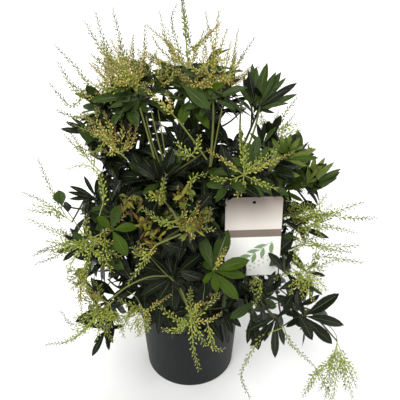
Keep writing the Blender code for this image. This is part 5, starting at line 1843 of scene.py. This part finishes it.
class PIERIS_OT_shoots(bpy.types.Operator):
    """Grow the young stems, shoots and spurs"""

    bl_idname = "pieris.shoots"
    bl_label = "Young shoots"

    def execute(self, context):
        young = context.scene.pieris_bark.young
        grown = growth()
        stems, light = Batch(), Batch()
        for path in grown.stems:
            stems.add(*tube(smooth_path(path, 14), np.linspace(STEM_RADIUS, SHOOT_TIP_RADIUS, 14), 8))
        for path in grown.twigs:
            stems.add(*tube(smooth_path(path, 8), np.linspace(SHOOT_RADIUS, SHOOT_TIP_RADIUS * 0.9, 8), 7))
        for path, radius in grown.bare:
            light.add(*tube(path, np.linspace(0.85 * radius, radius, len(path)), 10))
        # The stems and twigs inside the crown take a darker copy of the young skin: painted shade.
        shaded = young_bark("shaded_green_skin", darkened(young, 0.42), darkened(young, 0.2))
        settle(stems.make("young_shoots", shaded))
        settle(light.make("light_stems", young_bark("young_green_skin", young, darkened(young, 0.55))))
        return {"FINISHED"}


# Stations along a leaf and columns across it, as shares of its length and half width
LEAF_STATIONS = (0.0, 0.07, 0.17, 0.31, 0.46, 0.61, 0.76, 0.89, 1.0)
LEAF_COLUMNS = (-1.0, -0.55, 0.0, 0.55, 1.0)
LEAF_WIDEST = 0.62
PETIOLE_HALF_WIDTH = 0.9 * MM
TIP_HALF_WIDTH = 0.25 * MM
RECURVED = 0.28
EDGE_WAVE = 0.5 * MM
VEINS_PER_METRE = 900
SHORTEST_RIBBED = 0.045
RIB_HALF_SHARE = 0.045
RIB_LIFT = 0.28 * MM
RIB_EDGE_LIFT = 0.08 * MM
# Finish of each tone of leaf: what it is, its roughness and its sheen
LEAF_FINISHES = {
    "mature": ("leathery_leaf", 0.22, 0.35),
    "glossy": ("leathery_leaf", 0.22, 0.42),
    "green": ("leathery_leaf", 0.24, 0.6),
    "fresh": ("soft_leaf", 0.26, 0.25),
    "golden": ("opening_leaf", 0.45, 0.3),
    "bronze": ("opening_leaf", 0.45, 0.3),
}


def leaf_half_width(share):
    """Half the blade's width at a share of its length, as a share of its widest."""
    if share < LEAF_WIDEST:
        return sin(pi / 2 * share / LEAF_WIDEST) ** 1.45
    return cos(pi / 2 * (share - LEAF_WIDEST) / (1 - LEAF_WIDEST)) ** 0.75


LEAF_SHARES = np.array(LEAF_STATIONS)
LEAF_WIDTHS = np.array([leaf_half_width(s) for s in LEAF_STATIONS])


def leaf_surface(leaf, settings, columns=LEAF_COLUMNS):
    """Points of one leaf's blade: folded up a little at its edges, arched and slightly twisted."""
    size = 0.15 + 0.85 * leaf.length / settings.length
    half = np.maximum(LEAF_WIDTHS * settings.width / 2 * leaf.broad * size, PETIOLE_HALF_WIDTH)
    half[-1] = TIP_HALF_WIDTH
    x = LEAF_SHARES * leaf.length
    arch = leaf.length * leaf_arch(leaf.chance)
    fold = 0.36 + 0.36 * ((leaf.chance * 7.3) % 1)
    twist = 0.5 * (((leaf.chance * 13.7) % 1) - 0.5)
    across = np.array(columns)[None, :] * half[:, None]
    at_edge = np.abs(across) > half[:, None] * 0.8
    up = np.abs(across) * fold - across**2 / half[:, None] * RECURVED - (arch * LEAF_SHARES**2)[:, None]
    up = up + EDGE_WAVE * np.sin(LEAF_SHARES * 14 + leaf.chance * 20)[:, None] * np.sign(across) * at_edge
    turn = twist * LEAF_SHARES[:, None]
    side = across * np.cos(turn) - up * np.sin(turn) * 0.3
    up = up + across * np.sin(turn)
    o, u = np.array(leaf.outward), np.array(leaf.upper)
    points = np.array(leaf.root) + x[:, None, None] * o + side[:, :, None] * np.cross(u, o) + up[:, :, None] * u
    return points.reshape(-1, 3), across, x


class PIERIS_OT_leaves(bpy.types.Operator):
    """Set the whorled leaves and their midribs"""

    bl_idname = "pieris.leaves"
    bl_label = "Leaves"

    def execute(self, context):
        settings = context.scene.pieris_leaf
        blades = {tone: Batch() for tone in LEAF_FINISHES}
        ribs = Batch()
        rows = len(LEAF_STATIONS)
        blade_faces = grid_faces(rows, len(LEAF_COLUMNS), False)
        rib_faces = grid_faces(rows - 1, 3, False)
        for leaf in growth().leaves:
            points, across, x = leaf_surface(leaf, settings)
            uv = np.stack(np.broadcast_arrays(np.abs(across), x[:, None]), -1) * VEINS_PER_METRE
            blades[leaf.tone].add(points, blade_faces, uv.reshape(-1, 2))
            if leaf.length > SHORTEST_RIBBED:
                raised = leaf_surface(leaf, settings, (-RIB_HALF_SHARE, 0.0, RIB_HALF_SHARE))[0].reshape(rows, 3, 3)
                raised[:, 1] += np.array(leaf.upper) * RIB_LIFT
                raised[:, ::2] += np.array(leaf.upper) * RIB_EDGE_LIFT
                ribs.add(raised[:-1].reshape(-1, 3), rib_faces)
        for tone, batch in blades.items():
            finish, roughness, sheen = LEAF_FINISHES[tone]
            material = leathery_leaf(f"{tone}_{finish}", getattr(settings, tone), roughness, sheen)
            settle(batch.make(f"{tone}_leaves", material))
        settle(ribs.make("leaf_midribs", bud_skin("pale_midrib", settings.rib)))
        return {"FINISHED"}


# Rings of a bud: how far along it each stands and how wide it is
BUD_RINGS = ((0.22, 0.72), (0.62, 1.0))
BUD_SIDES = 5
STALK_ENDS = (1.4 * MM, 0.9 * MM)
RACEME_ENDS = (0.85 * MM, 0.32 * MM)
PEDICEL_ENDS = (0.5 * MM, 0.42 * MM)


def bud_template():
    """A closed bud along +X, one long and one wide: a point, two rings and a blunt tip."""
    angles = [tau * k / BUD_SIDES for k in range(BUD_SIDES)]
    rings = [(x, width / 2 * cos(a), width / 2 * sin(a)) for x, width in BUD_RINGS for a in angles]
    faces = []
    for k in range(BUD_SIDES):
        a, b = 1 + k, 1 + (k + 1) % BUD_SIDES
        c, d = a + BUD_SIDES, b + BUD_SIDES
        faces += [(0, b, a), (a, b, d), (a, d, c), (c, d, 1 + len(rings))]
    return np.array([(0.0, 0.0, 0.0), *rings, (1.0, 0.0, 0.0)]), np.array(faces)


BUD_POINTS, BUD_FACES = bud_template()


def raceme_kind(tip, height, tint):
    """The kind of a raceme that the rule grows: gold and copper high in the sun, lime lower down."""
    if in_sky(tip):
        return "thin"
    sun = min(max((height - 0.36) / 0.26, 0.0), 1.0)
    if tint < sun:
        return "copper" if tint < 0.35 * sun else "gold"
    return "lime" if tint > 0.55 else "olive"


class PIERIS_OT_racemes(bpy.types.Operator):
    """Hang the panicles: stalks, racemes, and each bud on its own short stalk"""

    bl_idname = "pieris.racemes"
    bl_label = "Racemes and buds"

    def execute(self, context):
        settings = context.scene.pieris_raceme
        axes, pedicels, age = Batch(), Batch(), []
        buds = {tone: Batch() for tone in BUD_TONES.values()}
        for path in growth().stalks:
            stalk = tube(path, np.linspace(*STALK_ENDS, len(path)), 7)
            axes.add(*stalk)
            age.append(np.zeros(len(stalk[0])))
        for number, (path, kind) in enumerate(growth().racemes):
            stalk = tube(path, np.linspace(*RACEME_ENDS, len(path)), 5)
            axes.add(*stalk)
            age.append(np.clip(stalk[2][:, 1] / stalk[2][:, 1].max() * 1.6 - 0.5, 0, 1))
            self.set_buds(path, kind, random.Random(f"buds {number}"), settings, buds, pedicels)
        skin = stalk_skin(settings)
        settle(axes.make_aged("raceme_stalks", skin, age))
        settle(pedicels.make("bud_stalks", skin))
        for tone, batch in buds.items():
            settle(batch.make(f"{tone}_buds", bud_skin(f"{tone}_bud", getattr(settings, tone))))
        return {"FINISHED"}

    def set_buds(self, path, kind, rule, settings, buds, pedicels):
        """Buds in a spiral round a raceme, smaller and closer towards its tip."""
        length = length_of(path)
        place = length * 0.14
        low_mix, tip_mix, sparse, small, spread = RACEMES[kind]
        k = 0
        while place < length:
            share = place / length
            root, run = spot_along(path, min(share, 0.999))
            size = (1.0 - 0.6 * share**2.2) * small
            away = turned(run, rule.uniform(38, 62), GOLDEN_ANGLE * k + rule.uniform(-25, 25))
            reach = 0.55 + 0.45 * size
            end = root + away * settings.pedicel * spread * reach * rule.uniform(0.85, 1.15)
            nod = (away + run * 0.25).normalized()
            mix = tip_mix if share + rule.uniform(-0.12, 0.12) > 0.68 else low_mix
            tone = BUD_TONES[rule.choice(mix)]
            side = nod.orthogonal().normalized()
            turn = np.array(Matrix((nod, side, nod.cross(side))))
            scale = np.array([settings.bud_length * size, settings.bud_width * size, settings.bud_width * size])
            buds[tone].add(np.array(end) + (BUD_POINTS * scale * rule.uniform(0.85, 1.12)) @ turn, BUD_FACES)
            pedicels.add(*tube([root, end + nod * 0.3 * MM], PEDICEL_ENDS, 3, False))
            place += settings.spacing * sparse * rule.uniform(0.8, 1.2)
            k += 1


class PIERIS_PT_panel(bpy.types.Panel):
    """Lists the pieces of the potted pieris"""

    bl_idname = "PIERIS_PT_panel"
    bl_label = "Potted pieris"
    bl_space_type = "VIEW_3D"
    bl_region_type = "UI"
    bl_category = "Pieris"

    def draw(self, context):
        for operator in OPERATORS:
            self.layout.operator(operator.bl_idname)
        for name, group in SETTINGS.items():
            box = self.layout.box()
            box.label(text=group.__doc__.rstrip("."))
            for setting in group.__annotations__:
                box.prop(getattr(context.scene, name), setting)


OPERATORS = (
    PIERIS_OT_stage,
    PIERIS_OT_pot,
    PIERIS_OT_compost,
    PIERIS_OT_label,
    PIERIS_OT_limbs,
    PIERIS_OT_shoots,
    PIERIS_OT_leaves,
    PIERIS_OT_racemes,
)
CLASSES = (*SETTINGS.values(), *OPERATORS, PIERIS_PT_panel)


def register():
    for cls in CLASSES:
        bpy.utils.register_class(cls)
    for name, group in SETTINGS.items():
        setattr(bpy.types.Scene, name, bpy.props.PointerProperty(type=group))


def unregister():
    for name in SETTINGS:
        delattr(bpy.types.Scene, name)
    for cls in reversed(CLASSES):
        bpy.utils.unregister_class(cls)


def main():
    register()
    for operator in OPERATORS:
        group, name = operator.bl_idname.split(".")
        getattr(getattr(bpy.ops, group), name)()
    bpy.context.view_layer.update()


if __name__ == "__main__":
    main()
